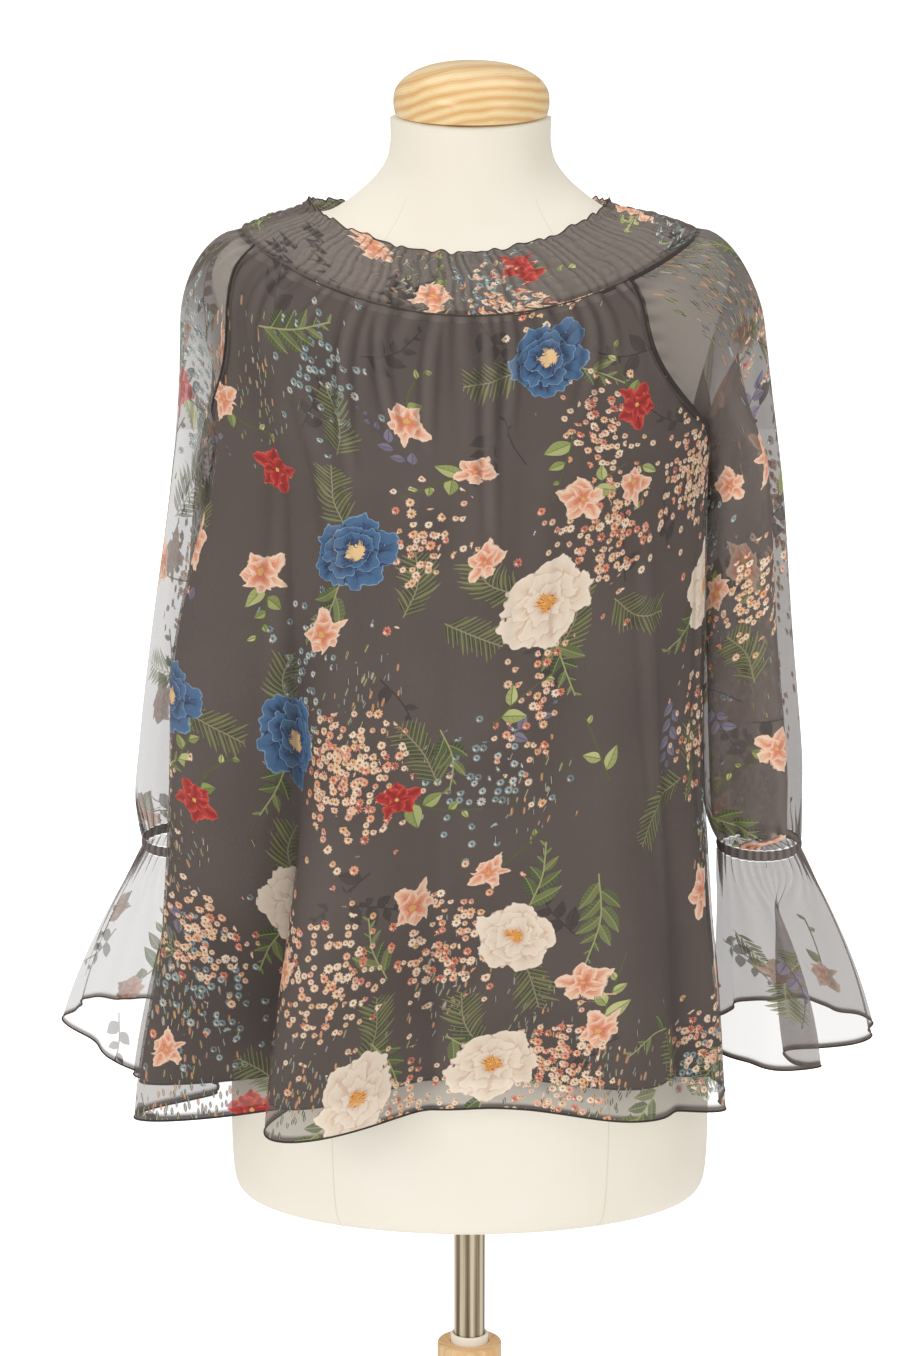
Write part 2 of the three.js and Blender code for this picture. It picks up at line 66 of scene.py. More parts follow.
# half, front, back, z at the front, side and back
TORSO_RINGS = np.array([
    [151, 94, 102, 715, 715, 715], [162, 103, 111, 719, 719, 719], [167, 108, 117, 735, 735, 735],
    [168, 111, 121, 780, 780, 780], [165, 111, 120, 830, 830, 830], [148, 104, 111, 905, 905, 905],
    [127, 93, 97, 1000, 1000, 1000], [117, 88, 90, 1085, 1085, 1085], [126, 102, 96, 1155, 1155, 1155],
    [144, 122, 106, 1225, 1225, 1225], [151, 121, 109, 1270, 1275, 1270],
    [163, 112, 107, 1308, 1320, 1308], [172, 107, 95, 1332, 1350, 1330],
    [174, 103, 86, 1344, 1367, 1342], [166, 99, 80, 1352, 1382, 1355],
    [146, 94, 74, 1360, 1394.5, 1370], [118, 84, 66, 1371, 1404.2, 1388],
    [94, 71, 60, 1384, 1408, 1404], [71, 59, 56, 1402, 1424, 1422], [58, 54, 53, 1424, 1439, 1438],
    [54, 53, 52, 1446, 1453, 1456], [54, 53, 52, 1466, 1470, 1474],
], float)
# at, middle, half, front, back, z at the front, side and back
YOKE_RINGS = np.array([
    [0, -8, 100, 80, 66, 1388, 1414, 1402], [0.15, -8, 106, 84, 72, 1384, 1409, 1400],
    [0.55, -4, 130, 98, 85, 1370, 1403, 1390], [1, -1, 153, 111, 104, 1351, 1395, 1360],
], float)
BODY_RINGS = np.array([
    [0, -1, 153, 111, 104, 1351, 1395, 1360], [0.05, -1, 173, 118, 111, 1333, 1380, 1339],
    [0.1, -1, 181, 124, 116, 1312, 1352, 1316], [0.19, -2, 174, 134, 119, 1272, 1296, 1268],
    [0.27, -1, 163, 139, 122, 1236, 1246, 1230], [0.45, 0, 160, 140, 122, 1140, 1143, 1125],
    [0.65, 0, 161, 137, 121, 1024, 1024, 1000], [0.8, 0, 167, 132, 126, 934, 930, 894],
    [0.9, 0, 173, 127, 131, 874, 864, 818], [1, 0, 178, 124, 137, 815, 788, 740],
], float)
# angle, spread, rise, start, full
BODY_FOLDS = np.array([
    [-67, 20, 58, 0.1, 0.55], [-67, 15, 12, 0.8, 1.0], [-47, 10, -12, 0.35, 1.0],
    [-29, 21, 74, 0.36, 1.05], [6, 13, -4, 0.5, 1.0], [33, 22, 27, 0.4, 1.0],
    [64, 13, 17, 0.5, 1.0], [120, 17, 24, 0.55, 1.0], [153, 15, 30, 0.4, 1.0],
    [187, 17, 36, 0.4, 1.0], [219, 14, 26, 0.45, 1.0], [248, 19, 52, 0.72, 1.0],
], float)
# at, front right, front left, back left, back right
RAGLAN_SEAMS = np.array([
    [0, -68, 43, 106, 226], [0.1, -62, 41, 118, 232], [0.19, -68, 56, 112, 244],
    [0.27, -88, 86, 86, 272],
], float)
SLEEVES = {
    "right": {
        "side": -1,
        "sections": np.array([
            [1400, 194, 150, -52, 56], [1300, 197, 160, -46, 56], [1212, 206, 170, -36, 56],
            [1112, 220, 175, -34, 56], [1030, 230, 178, -36, 58], [995, 233, 180, -34, 54],
            [971, 227, 184, -24, 44],
        ], float),
        "flounce": dict(outer=282, inner=205, front=-50, back=60, z_outer=842, z_front=812, z_back=836),
        "waves": 6,
    },
    "left": {
        "side": 1,
        "sections": np.array([
            [1400, 190, 150, -52, 56], [1300, 202, 157, -50, 54], [1212, 215, 158, -46, 54],
            [1112, 223, 158, -46, 52], [1030, 230, 160, -46, 52], [995, 230, 163, -42, 48],
            [971, 229, 174, -34, 40],
        ], float),
        "flounce": dict(outer=286, inner=176, front=-54, back=62, z_outer=829, z_front=820, z_back=836),
        "waves": 7,
    },
}


# ---------------------------------------------------------------- curves and grids
def through(table, at):
    """A smooth curve through a table's rows, whose first column is the place: between two rows
    every other column is a Hermite cubic, with slopes from the row before to the row after."""
    place = table[:, 0]
    sign = 1.0 if place[-1] > place[0] else -1.0
    rows = np.arange(len(table))
    before, after = np.maximum(rows - 1, 0), np.minimum(rows + 1, len(table) - 1)
    slope = (table[after] - table[before]) / (place[after] - place[before])[:, None]
    at = np.asarray(at, float)
    high = np.clip(np.searchsorted(sign * place, sign * at), 1, len(table) - 1)
    low = high - 1
    step = (place[high] - place[low])[..., None]
    t = np.clip((at - place[low])[..., None] / step, 0, 1)
    value = (1 + 2 * t) * (1 - t) ** 2 * table[low] + t * (1 - t) ** 2 * step * slope[low]
    value += t * t * (3 - 2 * t) * table[high] - t * t * (1 - t) * step * slope[high]
    return value[..., 1:]


def eased(value):
    """3t^2 - 2t^3 between 0 and 1."""
    t = np.clip(value, 0, 1)
    return t * t * (3 - 2 * t)


def bump(value, middle, spread):
    """cos^2 from 1 at the middle to 0 at the spread."""
    turn = np.clip(np.abs(value - middle) / spread, 0, 1)
    return np.cos(turn * np.pi / 2) ** 2


def ring_point(rows, angle, push=0.0):
    """A saddle ring: x = middle + (half + push) sin, y = -(depth + push) cos, and z goes from
    the side's height to the front's or back's with cos^2."""
    sine, cosine = np.sin(np.radians(angle)), np.cos(np.radians(angle))
    middle, half, front, back, z_front, z_side, z_back = np.moveaxis(rows, -1, 0)
    depth = np.where(cosine > 0, front, back)
    z_end = np.where(cosine > 0, z_front, z_back)
    x = middle + (half + push) * sine
    return np.stack([x, -(depth + push) * cosine, z_side + (z_end - z_side) * cosine**2], axis=-1)


def fold_push(angle, at, ridges=1.0):
    """The sum of the body's folds: rise x smoothstep down the fold x cos^2 across it."""
    push = np.zeros(np.broadcast(angle, at).shape)
    for middle, spread, rise, start, full in BODY_FOLDS:
        turn = (angle - middle + 540) % 360 - 180
        grown = eased((at - start) / (full - start))
        push += rise * grown * bump(turn, 0, spread) * (ridges if rise > 0 else 1.0)
    return push


def body_point(angle, at, ridges=1.0, push=0.0):
    return ring_point(through(BODY_RINGS, at), angle, fold_push(angle, at, ridges) + push)


def seam_angle(column, at):
    return through(RAGLAN_SEAMS, np.minimum(at, UNDERARM))[..., column]


def outward(points, closed=False):
    """Unit normals of a grid: the step down its columns crossed with the step along its rows."""
    down = np.gradient(points, axis=0)
    if closed:
        along = np.roll(points, -1, axis=1) - np.roll(points, 1, axis=1)
    else:
        along = np.gradient(points, axis=1)
    normal = np.cross(down, along)
    return normal / np.maximum(np.linalg.norm(normal, axis=-1, keepdims=True), 1e-9)


def creases(points, sharp, closed=False):
    """Where the cloth folds in, 1, and out, -1: tanh of its curvature along the rows, taken over
    two columns to each side and smoothed. The chiffon paints shade into the folds and a
    highlight onto the ridges from it."""
    normal = outward(points, closed)
    if closed:
        after, before = np.roll(points, -2, axis=1), np.roll(points, 2, axis=1)
    else:
        after = np.concatenate([points[:, 2:], points[:, -1:], points[:, -1:]], axis=1)
        before = np.concatenate([points[:, :1], points[:, :1], points[:, :-2]], axis=1)
    span = np.linalg.norm(after - before, axis=-1) / 2
    bend = np.einsum("ijk,ijk->ij", after + before - 2 * points, normal) / np.maximum(span, 0.5) ** 2
    for axis in (1, 1, 0):
        bend = (np.roll(bend, 1, axis) + 2 * bend + np.roll(bend, -1, axis)) / 4
    if not closed:
        bend[:, :4] = bend[:, -4:] = 0
    return np.tanh(bend * sharp)


def flat_map(points, closed=False):
    """Cloth coordinates of a grid in mm: the mean length along the rows and down the columns."""
    wrapped = np.concatenate([points, points[:, :1]], axis=1) if closed else points
    along = np.linalg.norm(np.diff(wrapped, axis=1), axis=-1)
    down = np.linalg.norm(np.diff(points, axis=0), axis=-1)
    u = np.concatenate([np.zeros((len(points), 1)), np.cumsum(along, axis=1)], axis=1)
    u -= u[:, -1:] / 2
    v = np.concatenate([[0.0], np.cumsum(down.mean(axis=1))])[:, None] * np.ones((1, u.shape[1]))
    return np.stack([u, v], axis=-1)


def surface(name, points, closed=False, caps=(), chart=None, layers=None):
    """A mesh from a grid of points in mm, quads facing outwards. closed joins the last column to
    the first, and caps lists the rows, 0 or -1, that a fan closes. chart is a grid of cloth
    coordinates in mm for the UV map, one column wider on a closed grid, and layers is
    {attribute name: grid of numbers or vectors}."""
    rows, count = points.shape[:2]
    place = np.arange(rows * count).reshape(rows, count)
    right = np.roll(place, -1, axis=1)
    across = count if closed else count - 1
    quads = np.stack([place[:-1], place[1:], right[1:], right[:-1]], axis=-1)[:, :across].reshape(-1, 4)
    vertices = points.reshape(-1, 3) * MM
    triangles = []
    for row in caps:
        ring, after = place[row], right[row]
        middle = np.full(count, len(vertices))
        vertices = np.vstack([vertices, points[row].mean(axis=0)[None] * MM])
        triangles.append(np.stack([middle, ring, after] if row == 0 else [middle, after, ring], axis=-1))
    loops = np.concatenate([quads.ravel(), *(t.ravel() for t in triangles)]).astype(np.int32)
    fans = sum(len(t) for t in triangles)
    starts = np.concatenate([np.arange(len(quads)) * 4, len(quads) * 4 + np.arange(fans) * 3])
    mesh = bpy.data.meshes.new(name)
    mesh.vertices.add(len(vertices))
    mesh.vertices.foreach_set("co", vertices.astype(np.float32).ravel())
    mesh.loops.add(len(loops))
    mesh.loops.foreach_set("vertex_index", loops)
    mesh.polygons.add(len(starts))
    mesh.polygons.foreach_set("loop_start", starts.astype(np.int32))
    mesh.update(calc_edges=True)
    mesh.polygons.foreach_set("use_smooth", np.ones(len(starts), bool))
    if chart is not None:
        wide = np.arange(rows * chart.shape[1]).reshape(rows, chart.shape[1])
        corners = np.stack([wide[:-1, :-1], wide[1:, :-1], wide[1:, 1:], wide[:-1, 1:]], axis=-1)
        flat = chart.reshape(-1, 2)[corners[:, :across].reshape(-1)] * MM
        flat = np.vstack([flat, np.zeros((fans * 3, 2))])
        mesh.uv_layers.new(name="cloth").data.foreach_set("uv", flat.astype(np.float32).ravel())
    for label, values in (layers or {}).items():
        values = np.asarray(values, np.float32)
        vector = values.ndim == 3
        values = values.reshape(-1, 3) if vector else values.reshape(-1)
        extra = len(vertices) - len(values)
        values = np.concatenate([values, np.zeros((extra, 3) if vector else extra, np.float32)])
        kind = "FLOAT_VECTOR" if vector else "FLOAT"
        attribute = mesh.attributes.new(label, kind, "POINT")
        attribute.data.foreach_set("vector" if vector else "value", values.ravel())
    thing = bpy.data.objects.new(name, mesh)
    bpy.context.scene.collection.objects.link(thing)
    return thing


def tube(name, path, radius, sides=8, closed=False, squash=None, caps=True):
    """A round cord along a path of points in mm: at each point a circle of the radius in the
    plane across the path. squash is (unit normals along the path, share) to flatten it."""
    path = np.asarray(path, float)
    if closed:
        step = np.roll(path, -1, axis=0) - np.roll(path, 1, axis=0)
    else:
        step = np.gradient(path, axis=0)
    step /= np.linalg.norm(step, axis=1, keepdims=True)
    guide = squash[0] if squash else np.broadcast_to([0.31, 0.2, 0.93], path.shape)
    side = np.cross(step, guide)
    side /= np.maximum(np.linalg.norm(side, axis=1, keepdims=True), 1e-9)
    lift = np.cross(side, step)
    turn = np.linspace(0, 2 * np.pi, sides, endpoint=False)[:, None, None]
    share = squash[1] if squash else 1.0
    radius = np.broadcast_to(radius, len(path))[None, :, None]
    points = path + radius * (np.cos(turn) * side + share * np.sin(turn) * lift)
    # grid rows go round the cord and columns along it, turned so that faces point out
    grid = points.transpose(1, 0, 2)[:, ::-1]
    if closed:
        grid = np.concatenate([grid, grid[:1]])
        return surface(name, grid, closed=True)
    return surface(name, grid, closed=True, caps=(0, -1) if caps else ())


def lathe(name, profile, middle=(0.0, 0.0), sides=96, caps=(), tilt=0.0, origin_z=0.0):
    """A turned piece: a profile of (radius, z) in mm carried round the vertical axis, from the
    top down on the outside, then tipped about X by tilt degrees around origin_z."""
    profile = np.asarray(profile, float)
    turn = np.radians(np.arange(sides) * 360.0 / sides)[None, :]
    radius, z = profile[:, :1], profile[:, 1:]
    x, y = radius * np.sin(turn), -radius * np.cos(turn)
    z = z * np.ones_like(turn)
    slope = math.radians(tilt)
    y, z = y * math.cos(slope) - z * math.sin(slope), y * math.sin(slope) + z * math.cos(slope)
    points = np.stack([x + middle[0], y + middle[1], z + origin_z], axis=-1)
    return surface(name, points, closed=True, caps=caps, chart=flat_map(points, True))


def finish_piece(thing, material, body, *nodes, slot=None):
    """Gives a piece its material and its body, and hides the CAD nodes that it stands for."""
    thing.data.materials.clear()
    thing.data.materials.append(material)
    if nodes:
        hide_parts(*nodes)
    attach(thing, body)
    return thing


# ---------------------------------------------------------------- the body of the blouse
def gather_push(angle, at):
    """Small folds that leave the yoke seam: a sum of narrow cos^2 ridges, each with its own
    angle, width and length, that fade down the panel."""
    seeds = np.random.default_rng(7)
    push = np.zeros(np.broadcast(angle, at).shape)
    for middle in np.arange(-180, 180, 7.5):
        middle = middle + seeds.uniform(-2.2, 2.2)
        spread, reach, rise = seeds.uniform(1.6, 3.6), seeds.uniform(0.06, 0.3), seeds.uniform(1.0, 3.0)
        bend = seeds.uniform(-18, 18)
        turn = (angle - middle - bend * at + 540) % 360 - 180
        grown = eased(at / 0.012) * (1 - eased(at / reach))
        push += rise * grown * bump(turn, 0, spread)
    return push


def drape_push(angle, at):
    """Long shallow folds and the cloth's slight unevenness: sines of the angle whose phase
    drifts down the panel."""
    slow = np.sin(np.radians(angle * 9 + 40 * np.sin(at * 5.0) + 60)) * 0.9
    fine = np.sin(np.radians(angle * 23 + 150 * at + 20 * np.sin(at * 21))) * 0.35
    return (slow + fine) * eased(at / 0.15)


FRONT_FOLDS = np.array([
    # angle at the top and at the bottom, spread, rise, from, to
    [3.5, 5.0, 2.2, 4.2, 0.0, 0.36], [-21, -16, 2.4, 3.2, 0.0, 0.2], [-26, -28, 2.4, 3.0, 0.0, 0.27],
    [28, 24, 2.6, 3.4, 0.0, 0.18], [9, 8, 2.0, 2.6, 0.0, 0.2], [-8, -9, 2.2, 2.8, 0.0, 0.22],
    [-38, -30, 4.5, 2.2, 0.1, 0.5], [17, 12, 6.0, 1.8, 0.15, 0.6],
    [-50, -55, 3.5, 2.6, 0.25, 0.95], [44, 52, 5.0, 2.4, 0.3, 0.9], [74, 70, 4.0, 2.5, 0.35, 1.0],
    [-12, -6, 6.5, 1.6, 0.45, 1.0],
])


def front_push(angle, at):
    """The folds seen in front, each a cos^2 ridge on a line between two angles, grown and
    faded along it with sin."""
    push = np.zeros(np.broadcast(angle, at).shape)
    for top, bottom, spread, rise, start, end in FRONT_FOLDS:
        along = np.clip((at - start) / (end - start), 0, 1)
        middle = top + (bottom - top) * along
        push += rise * np.sin(np.pi * along ** 0.7) * bump(angle, middle, spread)
    return push


def panel_grid(from_seam, to_seam, side_from, side_to, ridges, rows, columns):
    """Points on the body surface of a panel between two seams."""
    u = np.linspace(0, 1, columns)[None, :]
    at = np.asarray(rows)[:, None]
    low = np.where(at < UNDERARM, seam_angle(from_seam, at), side_from) + 0.03
    high = np.where(at < UNDERARM, seam_angle(to_seam, at), side_to) - 0.03
    angle = low + (high - low) * u
    at = at * np.ones_like(angle)
    small = gather_push(angle, at) + drape_push(angle, at) + front_push((angle + 180) % 360 - 180, at)
    share = 1.0 if ridges == 1.0 else 0.35
    edge = eased(u / 0.012) * eased((1 - u) / 0.012)
    return body_point(angle, at, ridges, push=small * share * edge)


PANELS = {"front": (0, 1, -88, 86), "back": (2, 3, 86, 272)}
PANEL_PLACES = np.linspace(0, 1, 250)
LINING_PLACES = np.linspace(0.002, LINING_HEM, 130)


def make_panel(side):
    points = panel_grid(*PANELS[side], 1.0, PANEL_PLACES, PANEL_COLUMNS)
    return points + outward(points) * CLOTH * 0.75


def make_lining(side):
    points = panel_grid(*PANELS[side], LINING_RIDGES, LINING_PLACES, LINING_COLUMNS)
    return points - outward(points) * (LAYER + 0.3 * CLOTH)


# ---------------------------------------------------------------- the yoke
YOKE_ROWS_OF_ELASTIC = 8


def make_yoke():
    """The yoke's saddle rings pushed out by gathers: |sin| of the angle times the gather count,
    with a wandering phase that jumps a little from row to row, pinched at each row of elastic,
    and a soft frill of sine waves above the first row."""
    at = np.linspace(0, 1, 88)[:, None]
    angle = np.linspace(-180, 180, 1121)[:-1][None, :]
    rings = through(YOKE_RINGS, at * np.ones_like(angle))
    drift = 1.5 * np.sin(np.radians(angle * 5 + 30)) + 0.9 * np.sin(np.radians(angle * 11))
    drift = drift + 1.3 * np.sin(np.radians(angle * 19 + 80)) + 1.1 * np.sin(np.radians(angle * 31 + 10))
    uneven = 0.72 + 0.28 * np.sin(np.radians(angle * 37) + 2 * np.sin(np.radians(angle * 13)))
    place = at * YOKE_ROWS_OF_ELASTIC
    row = np.floor(place)
    lean = 0.9 * np.sin(place * 1.3 + np.radians(angle) * 4)
    wave = np.radians(angle) * GATHERS + drift + lean
    ridge = np.abs(np.sin(wave / 2)) ** 0.85
    split = 0.6 + 0.4 * np.sin(np.radians(angle) * 31 + row * 2)
    split = 0.4 * np.abs(np.sin(wave + 0.8 + row * 1.7)) * split
    pinch = 0.5 + 0.5 * np.abs(np.sin(np.pi * place)) ** 0.5
    front = 0.55 + 0.45 * bump((angle + 180) % 360 - 180, -3, 55)
    low = 1 - 0.35 * eased((at - 0.93) / 0.07)
    push = (ridge + split) * uneven * pinch * 3.7 * front * low + 0.3
    frill = 1 - eased(at / 0.085)
    slow = np.radians(angle)
    soft = 1.2 + 0.9 * np.sin(wave * 0.5 + 0.6) + 0.6 * np.sin(slow * 19 + 2 * np.sin(slow * 7))
    push = push * (1 - frill) + frill * soft
    points = ring_point(rings, angle)
    points = points + outward(points, True) * push[..., None]
    rise = 0.45 * np.sin(wave * 0.5 + 2.0) + 0.7 * np.sin(slow * 27 + 3 * np.sin(slow * 5)) - 0.5
    points[..., 2] += frill * rise
    return points


# ---------------------------------------------------------------- the sleeves
def sleeve_start(side, turn):
    """Where a sleeve's edge lies on the body surface for a turn round the sleeve: up the front
    raglan seam, along the yoke and down the back seam, as in the part's source."""
    front_seam, back_seam = (1, 2) if side > 0 else (0, 3)
    wrap = 0 if side > 0 else -360
    below = 0.001
    share = np.where(
        turn < FRONT_YOKE,
        (FRONT_YOKE - turn) / (FRONT_YOKE + 360 - UNDERARM_TURN),
        (turn - BACK_YOKE) / (UNDERARM_TURN - BACK_YOKE),
    )
    at = np.clip(share * UNDERARM, below, UNDERARM - 0.015)
    front = seam_angle(front_seam, at) + 0.1 * side
    back = seam_angle(back_seam, at) + wrap - 0.1 * side
    over = np.clip((turn - FRONT_YOKE) / (BACK_YOKE - FRONT_YOKE), 0, 1)
    over = np.where(share > 0.99, 0.5, over)
    return body_point(front + (back - front) * over, at)


def tube_point(sleeve, turn, z):
    """The hanging tube: an ellipse between its inner and outer reach and its front and back."""
    outer, inner, front, back = np.moveaxis(through(sleeve["sections"], z), -1, 0)
    sine, cosine = np.sin(np.radians(turn)), np.cos(np.radians(turn))
    x = inner + (outer - inner) * (1 + sine) / 2
    y = back + (front - back) * (1 + cosine) / 2
    return np.stack([sleeve["side"] * x, y, z * np.ones_like(x)], axis=-1)


# A sleeve's section as cloth lies in it: (turn on the plain tube, share from the inner edge to
# the outer, share from the back to the front), with the deep folded pleat in front.
PLEAT = {
    "left": np.array([
        [-90, 0.00, 0.46], [-76, 0.02, 0.80], [-58, 0.20, 0.97], [-40, 0.48, 1.04], [-26, 0.70, 1.03],
        [-16, 0.78, 0.97], [-9, 0.76, 0.91], [2, 0.55, 0.88], [14, 0.28, 0.85], [24, 0.10, 0.81],
        [32, 0.05, 0.76], [40, 0.12, 0.71], [52, 0.40, 0.69], [66, 0.72, 0.66], [80, 0.95, 0.58],
        [90, 1.00, 0.46], [112, 0.95, 0.26], [140, 0.78, 0.08], [180, 0.48, 0.00], [225, 0.16, 0.10],
        [252, 0.03, 0.26], [270, 0.00, 0.46],
    ]),
    "right": np.array([
        [-90, 0.00, 0.46], [-76, 0.03, 0.70], [-62, 0.14, 0.90], [-48, 0.30, 1.00], [-36, 0.42, 0.99],
        [-29, 0.45, 0.94], [-22, 0.40, 0.88], [-12, 0.24, 0.85], [-4, 0.14, 0.81], [4, 0.16, 0.77],
        [16, 0.36, 0.77], [36, 0.64, 0.79], [60, 0.88, 0.72], [78, 0.98, 0.58], [90, 1.00, 0.46],
        [112, 0.95, 0.26], [140, 0.78, 0.08], [180, 0.50, 0.00], [225, 0.18, 0.10], [252, 0.03, 0.26],
        [270, 0.00, 0.46],
    ]),
}


def pleated(name, turn):
    """Shares across and forward of the folded section at a turn, from its chart."""
    return np.moveaxis(through(PLEAT[name], turn), -1, 0)


def make_sleeve(name):
    """From the raglan loop each column swings out on a quarter ellipse to the hanging section,
    which goes from a plain ellipse at the shoulder to the folded pleat below it, and back to a
    gathered ellipse at the wrist."""
    sleeve = SLEEVES[name]
    side = sleeve["side"]
    turn = np.linspace(-90, 270, 361)[:-1][None, :]
    v = np.concatenate([np.linspace(0, 0.1, 22)[:-1], np.linspace(0.1, 1, 118)])[:, None]
    if side < 0:
        turn = turn[:, ::-1]
    start = sleeve_start(side, turn)
    z = start[..., 2] + (WRIST + SEAM - start[..., 2]) * v
    hang = tube_point(sleeve, turn, z)
    outer, inner, front, back = np.moveaxis(through(sleeve["sections"], z), -1, 0)
    across, forward = pleated(name, turn)
    folded_x = side * (inner + (outer - inner) * across)
    folded_y = back + (front - back) * forward
    open_at = eased((v - 0.06) / 0.2) * (1 - eased((v - 0.965) / 0.035))
    # long creases down the sleeve, and cloth gathered just above the wrist
    angle = np.radians(turn)
    crease = 1.1 * np.sin(angle * 7 + 2.2 * np.sin(v * 4 + side)) + 0.8 * np.sin(angle * 13 + v * 5)
    crease = crease * eased((v - 0.05) / 0.15)
    wrist = 1.5 * np.sin(angle * 30 + 1.3 * np.sin(angle * 4)) * eased((v - 0.9) / 0.1)
    push = crease * (1 - eased((v - 0.94) / 0.06)) * 0.8 + wrist
    x = hang[..., 0] + (folded_x - hang[..., 0]) * open_at
    y = hang[..., 1] + (folded_y - hang[..., 1]) * open_at
    share = np.clip((start[..., 2] - z) / SHOULDER_ROUND, 0, 1)
    swing = np.sqrt(1 - (1 - share) ** 2)
    x = start[..., 0] + (x - start[..., 0]) * swing
    y = start[..., 1] + (y - start[..., 1]) * swing
    points = np.stack([x, y, z], axis=-1)
    points = points + outward(points, True) * (push * swing + 0.6)[..., None]
    return turn * np.ones_like(v), v * np.ones_like(turn), points


def make_casing(name):
    """The wrist casing: the tube's section at the wrist, puffed between its edges by sin and
    gathered by a fine wave."""
    sleeve = SLEEVES[name]
    turn = np.linspace(-90, 270, 241)[:-1][None, :]
    if sleeve["side"] < 0:
        turn = turn[:, ::-1]
    v = np.linspace(0, 1, 9)[:, None]
    points = tube_point(sleeve, turn * np.ones_like(v), np.full((9, 240), WRIST))
    points[..., 2] = WRIST - v * CASING_TALL
    wave = np.sin(np.radians(turn) * 30 + 1.3 * np.sin(np.radians(turn) * 4))
    puff = 0.9 * np.sin(np.pi * v) + 0.55 * wave + 0.9
    return points + outward(points, True) * puff[..., None]


def make_flounce(name):
    """The bell below the casing: each column runs from the casing to the hem, spreading with
    sin, and stands in waves that grow towards the hem; the pleat of the sleeve runs on into it."""
    sleeve = SLEEVES[name]
    side = sleeve["side"]
    flounce = sleeve["flounce"]
    turn = np.linspace(-90, 270, 421)[:-1][None, :]
    if side < 0:
        turn = turn[:, ::-1]
    share = np.linspace(0, 1, 70)[:, None]
    sine, cosine = np.sin(np.radians(turn)), np.cos(np.radians(turn))
    wave = 4.5 * share * np.sin(np.radians(sleeve["waves"] * turn))
    z_end = np.where(cosine > 0, flounce["z_front"], flounce["z_back"])
    z_end = z_end + (flounce["z_outer"] - z_end) * np.clip(sine, 0, 1)
    across, forward = pleated(name, turn)
    fold = 0.8 * eased(share / 0.25) * (1 - 0.35 * share)
    plain_x, plain_y = (1 + sine) / 2, (1 + cosine) / 2
    part_x = plain_x + (across - plain_x) * fold
    part_y = plain_y + (forward - plain_y) * fold
    hem_x = flounce["inner"] + (flounce["outer"] - flounce["inner"]) * part_x + wave * sine
    hem_y = flounce["back"] + (flounce["front"] - flounce["back"]) * part_y - wave * cosine
    top = tube_point(sleeve, turn, np.full(turn.shape, WRIST))
    spread = np.sin(share * np.pi / 2) * 0.45 + share * 0.55
    x = top[..., 0] + (side * hem_x - top[..., 0]) * spread
    y = top[..., 1] + (hem_y - top[..., 1]) * spread
    z = WRIST - CASING_TALL - 2 * SEAM + (z_end - WRIST + CASING_TALL + 2 * SEAM) * share
    angle = np.radians(turn)
    flute = 1.7 * np.sin(angle * 30 + 1.3 * np.sin(angle * 4)) * (1 - eased(share / 0.3))
    broad = 1.2 * np.sin(angle * 15 + 0.9 * np.sin(angle * 3))
    flute = flute + broad * eased(share / 0.2) * (1 - share * 0.4)
    points = np.stack([x, y, z * np.ones_like(x)], axis=-1)
    return points + outward(points, True) * (flute + 0.5)[..., None]


# ---------------------------------------------------------------- the dress form and its stand
def make_torso():
    """The torso's rings joined by a smooth curve, from the neck down to the flat base and in
    to the pole's hole."""
    table = np.column_stack([np.arange(len(TORSO_RINGS)), np.zeros(len(TORSO_RINGS)), TORSO_RINGS])
    place = np.linspace(len(TORSO_RINGS) - 1, 0, 160)[:, None]
    angle = np.linspace(-180, 180, 181)[:-1][None, :]
    points = ring_point(through(table, place * np.ones_like(angle)), angle)
    base = points[-1]
    middle = np.array([0.0, 0.0, TORSO_BOTTOM])
    inner = [middle + (base - middle) * share for share in (0.97, 0.8, 0.5, 0.2)]
    turn = np.radians(angle[0])
    hole = np.stack([BORE_RADIUS * np.sin(turn), -BORE_RADIUS * np.cos(turn),
                     np.full(180, TORSO_BOTTOM)], axis=-1)
    bore = hole + np.array([0, 0, BORE_DEEP])
    return np.concatenate([points, np.array(inner), hole[None], bore[None]])


def rounded(profile, steps=6):
    """A profile whose corners are rounded: (radius, z, rounding) rows, each corner replaced by a
    quadratic curve between points at the rounding's distance on either side."""
    points = []
    rows = [np.array(row, float) for row in profile]
    for place, row in enumerate(rows):
        here, reach = row[:2], row[2]
        if reach == 0 or place in (0, len(rows) - 1):
            points.append(here)
            continue
        before, after = rows[place - 1][:2], rows[place + 1][:2]
        start = here + (before - here) * min(reach / np.linalg.norm(before - here), 0.5)
        end = here + (after - here) * min(reach / np.linalg.norm(after - here), 0.5)
        for t in np.linspace(0, 1, steps):
            points.append((1 - t) ** 2 * start + 2 * t * (1 - t) * here + t * t * end)
    return np.array(points)


def make_cap():
    """The neck cap: a rim 13 mm tall and a low dome above it, r = R cos^0.9, tipped 4 degrees."""
    turn = np.linspace(np.pi / 2, 0, 40)
    dome = np.stack([52.2 * np.cos(turn) ** 0.8, 12 + 23.4 * np.sin(turn) ** 1.05], axis=-1)
    rim = rounded([(52.2, 12, 0), (52.4, 6, 3), (50.8, 0.4, 1.5), (20, 0.4, 0)])
    return np.concatenate([dome[1:], rim[1:]])


